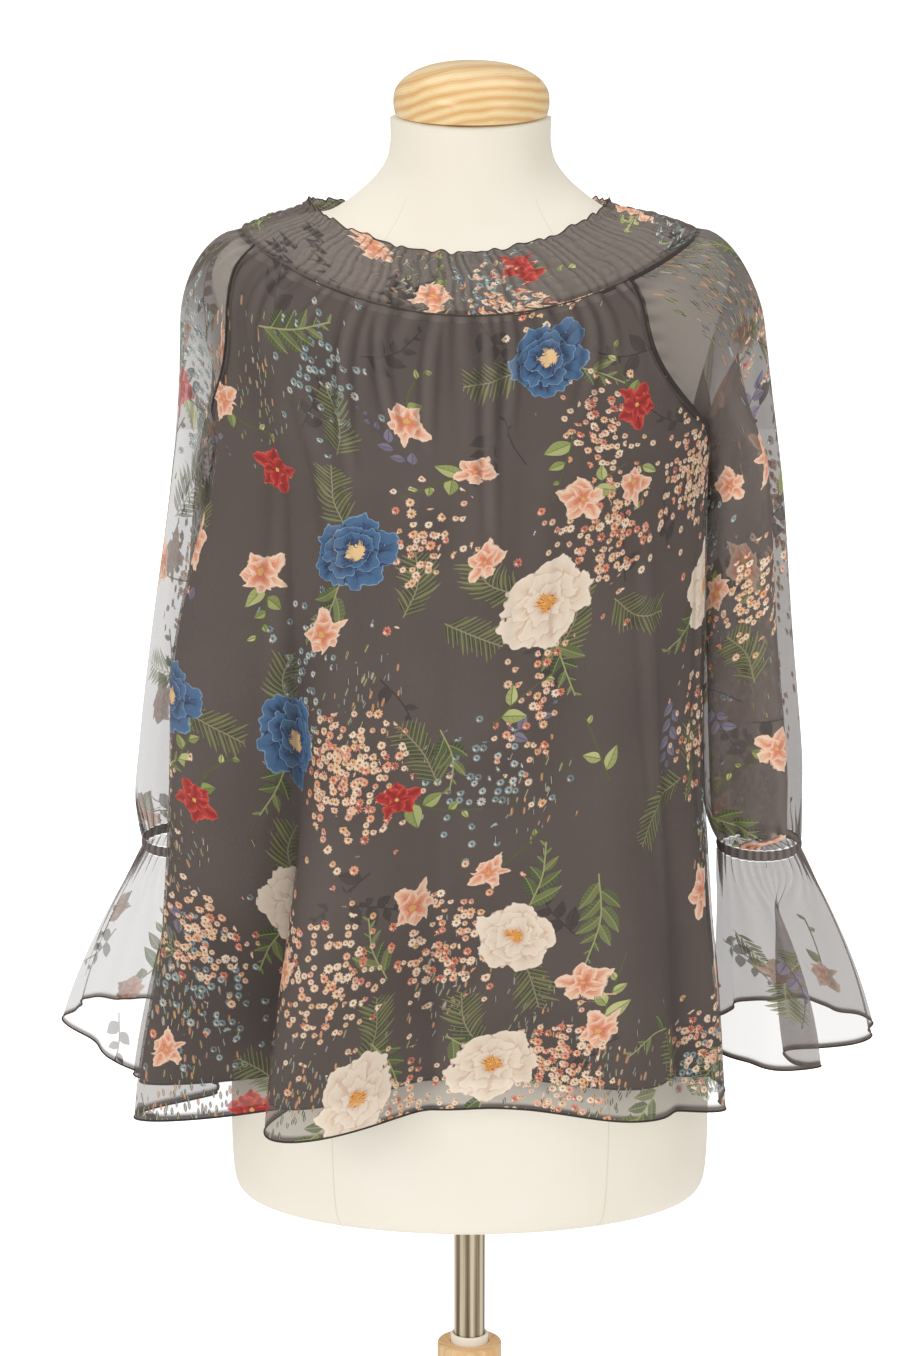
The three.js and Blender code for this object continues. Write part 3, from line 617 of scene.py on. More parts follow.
def make_leg(turn):
    """A leg as a tapered bar between the (reach, z) ends of its lower and upper edge: a squared
    circle, sign(cos) |cos|^0.35, for a section, carried from the hub to the foot and turned round
    the pole."""
    share = np.linspace(0, 1, 40)[:, None]
    corner = np.linspace(0, 2 * np.pi, 33)[:-1][None, :]
    squared = [np.sign(wave) * np.abs(wave) ** 0.35 for wave in (np.cos(corner), np.sin(corner))]
    along = (1 + squared[1]) / 2
    low, high = (
        np.array(hub_end) + (np.array(foot_end) - np.array(hub_end)) * share
        for hub_end, foot_end in (([34.6, 509.0], [251.0, 8.5]), ([34.6, 559.0], [272.5, 9.0]))
    )
    x = low[:, :1] + (high[:, :1] - low[:, :1]) * along
    z = low[:, 1:] + (high[:, 1:] - low[:, 1:]) * along
    y = 12.8 * squared[0] * np.ones_like(share)
    turn = math.radians(turn)
    x, y = x * math.cos(turn) - y * math.sin(turn), x * math.sin(turn) + y * math.cos(turn)
    return np.stack([x, y, z], axis=-1)


# ---------------------------------------------------------------- finishes
def new_finish(name, color, roughness=0.6, metal=0.0):
    finish = bpy.data.materials.new(name)
    finish.use_nodes = True
    shader = finish.node_tree.nodes["Principled BSDF"]
    shader.inputs["Base Color"].default_value = (*color, 1.0)
    shader.inputs["Roughness"].default_value = roughness
    shader.inputs["Metallic"].default_value = metal
    return finish


def linear(red, green, blue):
    """An 8-bit screen colour as linear light."""
    value = np.array([red, green, blue]) / 255.0
    return tuple(np.where(value <= 0.04045, value / 12.92, ((value + 0.055) / 1.055) ** 2.4))


GROUND = linear(88, 79, 75)


# ---------------------------------------------------------------- numbers and colours in materials
class Number:
    """A number in a material: arithmetic on it adds Math nodes."""

    def __init__(self, tree, link):
        self.tree, self.link = tree, link

    def of(self, operation, *others):
        node = self.tree.nodes.new("ShaderNodeMath")
        node.operation = operation
        for socket, value in zip(node.inputs, (self, *others)):
            if isinstance(value, Number):
                self.tree.links.new(value.link, socket)
            else:
                socket.default_value = value
        return Number(self.tree, node.outputs[0])

    def __add__(self, other):
        return self.of("ADD", other)

    def __sub__(self, other):
        return self.of("SUBTRACT", other)

    def __mul__(self, other):
        return self.of("MULTIPLY", other)

    def __truediv__(self, other):
        return self.of("DIVIDE", other)

    def __lt__(self, other):
        return self.of("LESS_THAN", other)

    def __gt__(self, other):
        return self.of("GREATER_THAN", other)

    def either(self, other):
        return self.of("MAXIMUM", other)

    def soft(self, low, high):
        """0 at low, 1 at high, straight between."""
        node = self.tree.nodes.new("ShaderNodeMapRange")
        self.tree.links.new(self.link, node.inputs["Value"])
        node.inputs["From Min"].default_value = low
        node.inputs["From Max"].default_value = high
        return Number(self.tree, node.outputs["Result"])


def paint(color):
    """A screen colour as a constant for mixing."""
    return (*linear(*color), 1.0)


def cover(tree, color):
    """Gives the finish its colour."""
    tree.links.new(color, tree.nodes["Principled BSDF"].inputs["Base Color"])


def blend_color(tree, share, under, over):
    """The colour under, with over laid on it by share. Colours are links or constants."""
    node = tree.nodes.new("ShaderNodeMix")
    node.data_type = "RGBA"
    tree.links.new(share.link, node.inputs[0])
    for socket, color in ((node.inputs[6], under), (node.inputs[7], over)):
        if isinstance(color, tuple):
            socket.default_value = color if len(color) == 4 else paint(color)
        else:
            tree.links.new(color, socket)
    return node.outputs[2]


def ramp(tree, value, *stops):
    """A colour that follows a number from 0 to 1 through (place, screen colour) stops."""
    node = tree.nodes.new("ShaderNodeValToRGB")
    tree.links.new(value.link, node.inputs[0])
    bar = node.color_ramp
    while len(bar.elements) < len(stops):
        bar.elements.new(0.5)
    for element, (place, color) in zip(bar.elements, stops):
        element.position = place
        element.color = paint(color)
    return node.outputs[0]


def cloth_vector(tree):
    node = tree.nodes.new("ShaderNodeUVMap")
    node.uv_map = "cloth"
    return node.outputs["UV"]


def scaled(tree, vector, scale, shift=(0, 0, 0), turn=0.0, stretch=(1, 1)):
    node = tree.nodes.new("ShaderNodeMapping")
    tree.links.new(vector, node.inputs["Vector"])
    node.inputs["Scale"].default_value = (scale * stretch[0], scale * stretch[1], scale)
    node.inputs["Location"].default_value = shift
    node.inputs["Rotation"].default_value = (0, 0, turn)
    return node.outputs["Vector"]


def stored(tree, name):
    """A stored number or vector of the cloth's points."""
    node = tree.nodes.new("ShaderNodeAttribute")
    node.attribute_name = name
    return node


def parts(tree, vector):
    node = tree.nodes.new("ShaderNodeSeparateXYZ")
    tree.links.new(vector, node.inputs[0])
    return [Number(tree, output) for output in node.outputs]


def speckle(tree, vector, scale, detail=2.0, rough=0.5):
    node = tree.nodes.new("ShaderNodeTexNoise")
    tree.links.new(vector, node.inputs["Vector"])
    node.inputs["Scale"].default_value = scale
    node.inputs["Detail"].default_value = detail
    node.inputs["Roughness"].default_value = rough
    return Number(tree, node.outputs["Fac"])


def chance(tree, first, second):
    """A fixed random number from 0 to 1 for two whole numbers."""
    join = tree.nodes.new("ShaderNodeCombineXYZ")
    tree.links.new(first.link, join.inputs[0])
    tree.links.new(second.link, join.inputs[1])
    node = tree.nodes.new("ShaderNodeTexWhiteNoise")
    node.noise_dimensions = "2D"
    tree.links.new(join.outputs[0], node.inputs["Vector"])
    return Number(tree, node.outputs["Value"])


def dots(tree, vector, cell, density, shift, stretch=(1, 1), turn=0.0, fill=0.27):
    """Scattered dots: one Voronoi cell each, cell mm apart, kept where the cell's random number
    is under the density. Returns how far from the middle as a share of the dot's radius, the two
    offsets, a random number for the dot and whether it is there."""
    place = scaled(tree, vector, 1000.0 / cell, shift, turn, stretch)
    cells = tree.nodes.new("ShaderNodeTexVoronoi")
    cells.voronoi_dimensions = "2D"
    tree.links.new(place, cells.inputs["Vector"])
    cells.inputs["Scale"].default_value = 1.0
    cells.inputs["Randomness"].default_value = 0.85
    offset = tree.nodes.new("ShaderNodeVectorMath")
    offset.operation = "SUBTRACT"
    tree.links.new(place, offset.inputs[0])
    tree.links.new(cells.outputs["Position"], offset.inputs[1])
    across, down, _ = parts(tree, offset.outputs[0])
    random, keep, size = parts(tree, cells.outputs["Color"])
    radius = size * 0.14 + fill
    away = Number(tree, cells.outputs["Distance"]) / radius
    return away, across / radius, down / radius, random, keep < density


def star_berries(tree, vector, color, ink, density, cell, shift, stops, centre):
    """Round berries with a fine-toothed rim, a dark eye and a light spot."""
    away, across, down, random, there = dots(tree, vector, cell, density, shift, fill=0.4)
    angle = down.of("ARCTAN2", across)
    rim = (angle * 9.0).of("COSINE") * 0.12 + 0.86
    shape = (away < rim) * there
    tone = ramp(tree, random, *stops)
    spot = ((across + 0.3) * (across + 0.3) + (down - 0.3) * (down - 0.3)) < 0.10
    tone = blend_color(tree, spot * 0.6, tone, (252, 240, 222))
    tone = blend_color(tree, (away < 0.26) * 0.85, tone, centre)
    rays = ((angle * 9.0 + random * 6.0).of("COSINE") > 0.55) * (away > 0.42)
    tone = blend_color(tree, rays * 0.35, tone, (255, 246, 232))
    return blend_color(tree, shape, color, tone), ink.either(shape)


def dashes(tree, vector, color, ink, density, cell, shift, stops, turn, long=2.6):
    """Short seed-like strokes: scattered cells stretched along a direction."""
    away, across, _, random, there = dots(tree, vector, cell, density, shift, (1.0, 1.0 / long), turn)
    shape = (away < 0.75) * there
    tone = ramp(tree, random, *stops)
    tone = blend_color(tree, (across.of("ABSOLUTE") < 0.16) * 0.5, tone, (240, 225, 190))
    return blend_color(tree, shape, color, tone), ink.either(shape)


def foliage(
    tree, name, color, ink, pitch, long, wide, lean, stem, stops, rib, strength=1.0, veins=0.25, gaps=0.0
):
    """Leaves on both sides of a stem, from stored (along, across, left) in mm. A leaf's axis
    leans forward from the stem; along it the leaf is wide * sin(pi * share^0.8) to a side. Leaves
    shrink towards the stem's end, and gaps is the share of them that is missing."""
    along, across, left = parts(tree, stored(tree, name).outputs["Vector"])
    side = across > 0.0
    far = across.of("ABSOLUTE")
    cot, sine = 1 / math.tan(math.radians(lean)), math.sin(math.radians(lean))
    foot = (along - far * cot) / pitch + side * 0.5
    leaf = foot.of("ROUND")
    off = (foot - leaf) * pitch
    random = chance(tree, leaf + side * 37.0, left.of("SUBTRACT", (along * -1.0)).of("SNAP", 3.0))
    here = left + far * cot + off
    small = (here / (pitch * 3.0)).of("MINIMUM", 1.0).of("MAXIMUM", 0.3)
    length = (random * 0.45 + 0.7) * small * long
    share = ((far / sine) + off * math.cos(math.radians(lean))) / length
    half = (share.of("MAXIMUM", 0.0001).of("POWER", 0.8) * math.pi).of("SINE") * small * wide
    kept = (here > 0.0) * (left > -6.0) * (far < long)
    deep = (off * sine).of("ABSOLUTE")
    shape = (deep < half) * (share < 1.0) * (share > 0.0) * kept * (leaf > 0.4)
    if gaps:
        shape = shape * (random > gaps)
    tone = ramp(tree, random * 0.75 + (off > 0.0) * 0.25, *stops)
    if veins:
        lines = (((far / sine - deep * 1.3) / (wide * 0.55)).of("FRACT") < 0.22) * (deep > 0.25)
        tone = blend_color(tree, lines * veins, tone, rib)
    tone = blend_color(tree, (deep < 0.3) * 0.8, tone, rib)
    stalk = (far < stem) * (left > 0.0) * (along > 0.0)
    both = shape.either(stalk)
    tone = blend_color(tree, stalk, tone, rib)
    return blend_color(tree, both * strength, color, tone), ink.either(both * strength)


def ruffled(tree, name, seed, scale, amount):
    """A flower's stored x and y, moved about by smooth noise so that no two petals are alike,
    its distance and angle from the middle, and whether the flower is kept there."""
    store = stored(tree, name).outputs["Vector"]
    x, y, kept = parts(tree, store)
    join = tree.nodes.new("ShaderNodeCombineXYZ")
    for number, socket in zip((x + seed * 7.0, y + seed * 3.0), join.inputs):
        tree.links.new(number.link, socket)
    noise = tree.nodes.new("ShaderNodeTexNoise")
    noise.noise_dimensions = "2D"
    noise.inputs["Scale"].default_value = scale
    noise.inputs["Detail"].default_value = 2.0
    tree.links.new(join.outputs[0], noise.inputs["Vector"])
    first, second, third = parts(tree, noise.outputs["Color"])
    x = x + (first - 0.5) * amount
    y = y + (second - 0.5) * amount
    return (x * x + y * y).of("SQRT"), y.of("ARCTAN2", x), kept > 0.5, third


def roses(tree, color, ink):
    """Full blooms: rings of petals, each with an outline r = e + a |cos(n angle / 2 + turn)|, lie
    over each other with a soft shadow under each and fine streaks along the petals, round a
    heart of stamens. The stored kind gives the colours: under 0.5 cream, over it blue with
    paler edges."""
    kind = Number(tree, stored(tree, "bloom_kind").outputs["Fac"])
    blue = kind > 0.5
    seed = kind * 17.0
    away, angle, kept, _ = ruffled(tree, "bloom", seed, 2.3, 0.5)
    streak = (angle * 37.0 + away * 5.0).of("SINE") * 0.25
    streak = streak + (angle * 19.0 - away * 3.0).of("SINE") * 0.25 + 0.5
    shape_all = None
    for size, lobe, count, turn in ((0.96, 0.17, 5, 0.0), (0.70, 0.15, 5, 1.3), (0.44, 0.12, 4, 2.4)):
        wave = ((angle * (count / 2.0)) + seed + turn).of("COSINE").of("ABSOLUTE")
        edge = wave.of("POWER", 0.6) * lobe + (angle * 13.0 + seed).of("SINE") * 0.014 + (size - lobe)
        inside = (away < edge) * kept
        depth = (edge - away) / lobe
        lit = depth.soft(0.0, 2.2) * (streak * 0.5 + 0.7)
        cream = blend_color(tree, lit, (248, 234, 216), (232, 208, 184))
        cream = blend_color(tree, lit.soft(0.6, 1.25) * 0.8, cream, (204, 158, 130))
        deep = blend_color(tree, lit, (74, 116, 156), (42, 76, 122))
        deep = blend_color(tree, lit.soft(0.4, 1.1), deep, (22, 38, 70))
        notch = wave < 0.13
        cream = blend_color(tree, notch * 0.4, cream, (198, 150, 122))
        deep = blend_color(tree, notch, deep, (30, 54, 92))
        cream = blend_color(tree, (depth < 0.1) * 0.5, cream, (206, 166, 140))
        deep = blend_color(tree, (depth < 0.16) * 0.6, deep, (150, 178, 204))
        color = blend_color(tree, inside, color, blend_color(tree, blue, cream, deep))
        shape_all = inside if shape_all is None else shape_all.either(inside)
    heart = (away < streak * 0.10 + 0.11) * kept
    tone = blend_color(tree, (angle * 14.0).of("SINE") > 0.2, (242, 186, 96), (214, 116, 44))
    color = blend_color(tree, heart, color, blend_color(tree, blue, tone, (244, 206, 150)))
    return color, ink.either(shape_all)


def lilies(tree, color, ink):
    """Small open flowers: five broad petals and five short ones between them. Round each petal's
    axis the half width is w sin(pi r^0.75); they are coral at the base and cream at the edge."""
    tint = Number(tree, stored(tree, "lily_kind").outputs["Fac"])
    red = tint > 0.5
    away, angle, kept, wander = ruffled(tree, "lily", tint * 31.0, 1.9, 0.45)
    shape_all = None
    for size, wide, turn in ((1.0, 0.43, 0.0), (0.66, 0.5, 0.5)):
        around = angle / (math.pi * 2 / 5) + turn
        petal = around.of("ROUND")
        off = ((around - petal) * (math.pi * 2 / 5) * away).of("ABSOLUTE")
        long = (chance(tree, petal + 7.0 + turn, tint.of("SNAP", 0.01) * 100.0) * 0.4 + 0.64) * size
        share = (away / long).of("MAXIMUM", 0.001)
        half = (share.of("POWER", 0.75) * math.pi).of("SINE") * wide * long
        inside = (off < half) * (share < 1.0) * kept
        edge = off / half.of("MAXIMUM", 0.01)
        streak = (off * 90.0).of("SINE") * 0.07
        tone = ramp(tree, edge * 0.45 + share * 0.45 + streak + wander * 0.2, (0.1, (196, 92, 66)),
                    (0.36, (232, 146, 114)), (0.6, (246, 202, 172)), (0.9, (252, 234, 212)))
        hot = ramp(tree, edge + streak, (0.0, (138, 22, 24)), (0.5, (192, 40, 38)), (1.0, (226, 88, 66)))
        tone = blend_color(tree, red, tone, hot)
        tone = blend_color(tree, (edge > 0.86) * 0.55, tone, (196, 112, 88))
        color = blend_color(tree, inside, color, tone)
        shape_all = inside if shape_all is None else shape_all.either(inside)
    heart = (away < 0.09) * kept
    return blend_color(tree, heart, color, (226, 178, 96)), ink.either(shape_all)


# The small motifs of the print from the lowest to the top: how each is drawn, the stored layer or
# the density that it follows, and its measures and colours.
SMALL_MOTIFS = (
    (foliage, "shadow_sprig", dict(
        pitch=13.0, long=17.0, wide=4.6, lean=50, stem=0.5, strength=0.85, veins=0.0, gaps=0.15,
        stops=((0.0, (50, 44, 44)), (1.0, (64, 56, 54))), rib=(44, 38, 38))),
    (foliage, "lilac_sprig", dict(
        pitch=11.0, long=12.0, wide=3.4, lean=48, stem=0.4, strength=0.85, veins=0.2, gaps=0.3,
        stops=((0.0, (88, 86, 116)), (1.0, (148, 142, 162))), rib=(72, 68, 92))),
    (dashes, "seed", dict(
        share=1.0, cell=3.8, shift=(0.3, 0.2, 0), turn=0.5,
        stops=((0.0, (36, 48, 54)), (0.35, (80, 104, 108)), (0.55, (50, 60, 44)), (0.75, (150, 110, 66)),
               (1.0, (196, 128, 78))))),
    (dashes, "seed", dict(
        share=1.0, cell=4.2, shift=(7.3, 1.2, 0), turn=-0.6,
        stops=((0.0, (34, 38, 46)), (0.4, (96, 104, 62)), (0.6, (44, 62, 88)), (0.8, (168, 106, 70)),
               (1.0, (150, 160, 160))))),
    (star_berries, "mist", dict(
        share=1.0, cell=6.2, shift=(3.7, 5.1, 0), centre=(50, 62, 78),
        stops=((0.0, (70, 92, 102)), (0.4, (104, 132, 138)), (0.75, (140, 162, 164)),
               (1.0, (188, 192, 180))))),
    (foliage, "fern", dict(
        pitch=3.6, long=17.0, wide=1.25, lean=52, stem=0.45, strength=0.95, veins=0.0,
        stops=((0.0, (42, 48, 34)), (0.5, (70, 80, 46)), (1.0, (122, 126, 78))), rib=(146, 148, 98))),
    (foliage, "leafage", dict(
        pitch=12.0, long=21.0, wide=4.6, lean=42, stem=0.5, strength=1.0, veins=0.3, gaps=0.1,
        stops=((0.0, (48, 58, 40)), (0.5, (78, 92, 52)), (1.0, (122, 130, 78))), rib=(160, 166, 110))),
    (star_berries, "berry", dict(
        share=0.85, cell=6.9, shift=(1.7, 8.3, 0), centre=(142, 66, 42),
        stops=((0.0, (176, 72, 44)), (0.25, (222, 122, 80)), (0.5, (238, 186, 144)), (0.75, (244, 226, 200)),
               (1.0, (226, 164, 104))))),
    (star_berries, "berry", dict(
        share=0.7, cell=5.2, shift=(9.1, 2.3, 0), centre=(160, 92, 56),
        stops=((0.0, (206, 112, 74)), (0.5, (242, 214, 186)), (1.0, (214, 158, 96))))),
    (foliage, "vine", dict(
        pitch=18.0, long=22.0, wide=6.2, lean=50, stem=0.6, gaps=0.22,
        stops=((0.0, (88, 102, 52)), (0.45, (146, 158, 88)), (1.0, (210, 212, 146))), rib=(84, 94, 50))),
)


def make_chiffon(name, blooms=True):
    """Sheer crepe chiffon with a floral print: the ground lets about half of the light through
    and the printed ink little of it, with a fine crepe grain in the bump. blooms leaves out the
    large flowers on a piece that has none."""
    finish = new_finish(name, GROUND, 0.72)
    tree = finish.node_tree
    shader = tree.nodes["Principled BSDF"]
    vector = cloth_vector(tree)
    patch = speckle(tree, vector, 9.0, 2.0)
    color = ramp(tree, patch, (0.3, (90, 79, 75)), (0.7, (106, 94, 89)))
    berry, mist, seed = parts(tree, stored(tree, "thicket").outputs["Vector"])
    ink = patch * 0.0
    thick = (berry + mist + seed).soft(0.1, 1.0) * patch.soft(0.3, 0.55)
    color = blend_color(tree, thick * 0.75, color, (56, 52, 55))
    density = {"seed": seed, "mist": mist, "berry": berry}
    for motif, subject, values in SMALL_MOTIFS:
        if motif is foliage:
            color, ink = foliage(tree, subject, color, ink, **values)
        else:
            share = density[subject] * values["share"]
            settings = {key: value for key, value in values.items() if key != "share"}
            color, ink = motif(tree, vector, color, ink, share, **settings)
    if blooms:
        color, ink = roses(tree, color, ink)
    color, ink = lilies(tree, color, ink)
    # painted shade and painted highlight: the stored crease darkens the colour in the cloth's inward folds
    # and lightens it on its outward ridges
    fold = Number(tree, stored(tree, "crease").outputs["Fac"])
    color = blend_color(tree, fold.of("MAXIMUM", 0.0) * 0.72, color, (22, 18, 18))
    color = blend_color(tree, (fold * -1.0).of("MAXIMUM", 0.0) * 0.16, color, (190, 178, 168))
    cover(tree, color)
    extra = Number(tree, stored(tree, "hem").outputs["Fac"])
    grain = speckle(tree, vector, 900.0, 1.0)
    solid = ink * 0.40 + 0.47 + extra * 0.5 + (grain - 0.5) * 0.05
    tree.links.new(solid.of("MINIMUM", 0.98).link, shader.inputs["Alpha"])
    relief = tree.nodes.new("ShaderNodeBump")
    relief.inputs["Strength"].default_value = 0.03
    relief.inputs["Distance"].default_value = 0.0004
    tree.links.new(speckle(tree, vector, 700.0, 2.0).link, relief.inputs["Height"])
    tree.links.new(relief.outputs["Normal"], shader.inputs["Normal"])
    return finish


# ---------------------------------------------------------------- where the print's motifs lie
OFF = -3000.0  # the length left of a curve where none is drawn
FAR = 1e9
SPRIGS = ("vine", "fern", "leafage", "shadow_sprig", "lilac_sprig")


class Chart:
    """The motifs of one piece of cloth: stored numbers at its points, in cloth millimetres."""

    def __init__(self, name, points, chart, closed):
        self.name = name
        self.flat = chart[:, :-1] if closed else chart
        shape = points.shape[:2]
        self.layers = {
            "bloom": np.zeros((*shape, 3)), "bloom_kind": np.zeros(shape),
            "lily": np.zeros((*shape, 3)), "lily_kind": np.zeros(shape),
            "thicket": np.zeros((*shape, 3)), "hem": np.zeros(shape), "crease": np.zeros(shape),
        }
        for layer in SPRIGS:
            self.layers[layer] = np.zeros((*shape, 3))
            self.layers[layer][..., 2] = OFF
        self.nearest = {layer: np.full(shape, FAR) for layer in SPRIGS}

    def flower(self, layer, place, radius, turn, kind, squash=1.0):
        """Stores x and y from the flower's middle as shares of its radius, turned and squashed."""
        offset = self.flat - place
        turn = math.radians(turn)
        x = (offset[..., 0] * math.cos(turn) + offset[..., 1] * math.sin(turn)) / radius
        y = (-offset[..., 0] * math.sin(turn) + offset[..., 1] * math.cos(turn)) / (radius * squash)
        away = np.hypot(x, y)
        store, kinds = self.layers[layer], self.layers[f"{layer}_kind"]
        ring = 4.0 / radius
        near = away < 1.04 + ring
        store[near] = np.stack([x, y, away < 1.04], axis=-1)[near]
        kinds[near] = kind

    def sprig(self, layer, path, reach=24.0):
        """Stores how far along a smooth curve and across it each point near it lies, and how much
        of the curve is left. Points halfway between two curves are switched off."""
        path = np.asarray(path, float)
        knots = np.arange(len(path))
        fine = through(np.column_stack([knots, path]), np.linspace(0, len(path) - 1, 12 * len(path)))
        step = np.diff(fine, axis=0)
        length = np.linalg.norm(step, axis=1)
        start = np.concatenate([[0.0], np.cumsum(length)])
        low, high = fine.min(axis=0) - reach, fine.max(axis=0) + reach
        near = np.all((self.flat > low) & (self.flat < high), axis=-1)
        if not near.any():
            return
        offset = self.flat[near][:, None] - fine[None, :-1]
        along = np.einsum("ijk,jk->ij", offset, step) / length**2
        along[:, 1:-1] = np.clip(along[:, 1:-1], 0, 1)
        along[:, 0] = np.minimum(along[:, 0], 1)
        along[:, -1] = np.maximum(along[:, -1], 0)
        away = np.linalg.norm(offset - along[..., None] * step[None], axis=-1)
        # past its first and last point a curve is only as near as its end
        beyond = np.where((along < 0) | (along > 1), np.abs(along - np.clip(along, 0, 1)) * length, 0)
        best = np.argmin(np.hypot(away, beyond), axis=1)
        rows = np.arange(len(best))
        across = np.cross(step[best], offset[rows, best]) / length[best]
        s = start[best] + along[rows, best] * length[best]
        distance = np.hypot(away[rows, best], beyond[rows, best])
        before = self.nearest[layer][near]
        closer = (distance < before) & (distance < reach)
        left = np.where(s > -2.0, start[-1] - s, OFF)
        values = self.layers[layer][near]
        values[closer] = np.stack([s, across, left], axis=-1)[closer]
        values[(np.abs(before - distance) < 6.0) & (before < reach), 2] = OFF
        self.layers[layer][near] = values
        self.nearest[layer][near] = np.minimum(before, distance)

    def cloud(self, channel, place, size, amount):
        """Adds to the density of small motifs: amount exp(-distance^2 / size^2)."""
        offset = (self.flat - place) / np.asarray(size, float)
        self.layers["thicket"][..., channel] += amount * np.exp(-(offset**2).sum(axis=-1))



def draw(chart, plan):
    """Lays a plan of motifs on a chart, in cloth millimetres."""
    for spot, radius, turn, kind in plan["blooms"]:
        chart.flower("bloom", spot, radius * 1.12, turn, kind, 0.88)
    for spot, radius, turn, kind in plan["lilies"]:
        chart.flower("lily", spot, radius * 1.3, turn, kind, 0.8)
    for layer, *path in plan["sprigs"]:
        chart.sprig(layer, path)
    for channel, spot, width, height, amount in plan["clouds"]:
        chart.cloud(channel, spot, (width, height), amount)


# A seed for the print of each piece, and how crowded its small motifs are.
PRINTS = {
    "body_front": (4, 1.0), "body_back": (3, 1.0), "sleeve_right": (5, 1.0), "sleeve_left": (8, 1.0),
    "flounce_right": (12, 1.0), "flounce_left": (15, 1.0), "yoke": (21, 2.4),
}


# Sprays of each kind for each 100 x 100 mm of cloth.
SPRAY_COUNTS = (("vine", 0.15), ("fern", 0.35), ("shadow_sprig", 0.5), ("leafage", 0.3), ("lilac_sprig", 0.2))


def scattered(chart, seed, crowd):
    """A plan of seeded places on the cloth: large blooms, each with two sprays that leave it and
    a cloud of berries beside it, then small flowers, sprays and clouds between them, each kept
    clear of the flowers before it."""
    draws = np.random.default_rng(seed)
    flat = chart.flat
    low, high = flat.reshape(-1, 2).min(axis=0), flat.reshape(-1, 2).max(axis=0)
    area = (high - low).prod() / 1e4
    plan = {"blooms": [], "lilies": [], "sprigs": [], "clouds": []}
    taken = []

    def place(clear):
        for _ in range(40):
            spot = draws.uniform(low, high)
            away = np.hypot(*(np.moveaxis(flat, -1, 0) - spot[:, None, None]))
            if away.min() < 4 and all(math.hypot(*(spot - other)) > clear + size for other, size in taken):
                taken.append((spot, clear))
                return spot
        return None

    def spray(layer, spot, turn, step):
        path = [spot]
        for _ in range(2):
            path.append(path[-1] + step * np.array([np.cos(turn), np.sin(turn)]))
            turn += draws.uniform(-0.6, 0.6)
        plan["sprigs"].append((layer, *path))

    if chart.name.startswith("body"):
        for _ in range(int(area * 0.3)):
            spot = place(32)
            if spot is not None:
                size, turn = draws.uniform(26, 32), draws.uniform(0, 2 * np.pi)
                face, kind = draws.uniform(0, 360), draws.choice([0.1, 0.2, 0.3, 0.66])
                plan["blooms"].append((spot, size, face, kind))
                for layer, lean in (("leafage", 0.0), ("fern", 2.4)):
                    start = spot + 0.7 * size * np.array([np.cos(turn + lean), np.sin(turn + lean)])
                    spray(layer, start, turn + lean, draws.uniform(18, 26))
                beside = spot + 1.7 * size * np.array([np.cos(turn - 2.0), np.sin(turn - 2.0)])
                plan["clouds"].append((0, beside, draws.uniform(18, 30), draws.uniform(20, 34), 0.9))
    for _ in range(int(area * 0.6 * crowd)):
        spot = place(19)
        if spot is not None:
            kind = draws.choice([0.1, 0.2, 0.33, 0.7])
            plan["lilies"].append((spot, draws.uniform(14, 19), draws.uniform(0, 360), kind))
            if draws.uniform() < 0.6:
                spray("vine", spot, draws.uniform(0, 2 * np.pi), draws.uniform(20, 30))
    for layer, count in SPRAY_COUNTS:
        for _ in range(int(area * count * crowd)):
            spot = place(6)
            if spot is not None:
                spray(layer, spot, draws.uniform(0, 2 * np.pi), draws.uniform(20, 32))
    for channel in (0, 1, 2, 0, 2):
        for _ in range(int(area * 0.16 * crowd)):
            spot = place(8)
            if spot is not None:
                width, height, amount = (draws.uniform(*span) for span in ((16, 34), (22, 48), (0.5, 0.9)))
                plan["clouds"].append((channel, spot, width, height, amount))
    return plan


def charted(name, points, closed=False):
    """The chart of a piece with the motifs of its plans, and its cloth coordinates."""
    flat = flat_map(points, closed)
    chart = Chart(name, points, flat, closed)
    if name in PRINTS:
        draw(chart, scattered(chart, *PRINTS[name]))
    return chart, flat


def edge_band(flat_v, width, foot=True, head=False):
    """1 within a width of a piece's lower or upper edge, 0 beyond it."""
    down = flat_v - flat_v[:1]
    band = np.zeros_like(flat_v)
    if foot:
        band = np.maximum(band, np.clip((width - (down[-1:] - down)) * 2, 0, 1))
    if head:
        band = np.maximum(band, np.clip((width - down) * 2, 0, 1))
    return band


# ---------------------------------------------------------------- the pieces
chiffon = make_chiffon("printed_chiffon")
light_chiffon = make_chiffon("printed_chiffon_sleeves", blooms=False)


def object_parts(tree, scale=(1, 1, 1)):
    """The object coordinates, scaled, as a link and as three numbers."""
    node = tree.nodes.new("ShaderNodeTexCoord")
    place = scaled(tree, node.outputs["Object"], 1.0)
    place.node.inputs["Scale"].default_value = scale
    return place, parts(tree, place)


def relief(tree, height, strength, distance):
    """Bump from a number."""
    node = tree.nodes.new("ShaderNodeBump")
    node.inputs["Strength"].default_value = strength
    node.inputs["Distance"].default_value = distance
    tree.links.new(height.link, node.inputs["Height"])
    tree.links.new(node.outputs["Normal"], tree.nodes["Principled BSDF"].inputs["Normal"])


def make_woven(name, dark, light, threads, roughness):
    """Plain cloth: warp and weft as sines of the place, colour clouded by soft noise."""
    finish = new_finish(name, linear(*dark), roughness)
    tree = finish.node_tree
    place, (x, y, z) = object_parts(tree)
    cloud = speckle(tree, place, 14.0, 3.0)
    weave = (x * threads).of("SINE") * (z * threads).of("SINE") + (y * threads).of("SINE") * 0.5
    color = ramp(tree, cloud + weave * 0.06, (0.3, dark), (0.7, light))
    cover(tree, color)
    relief(tree, weave, 0.2, 0.0002)
    return finish


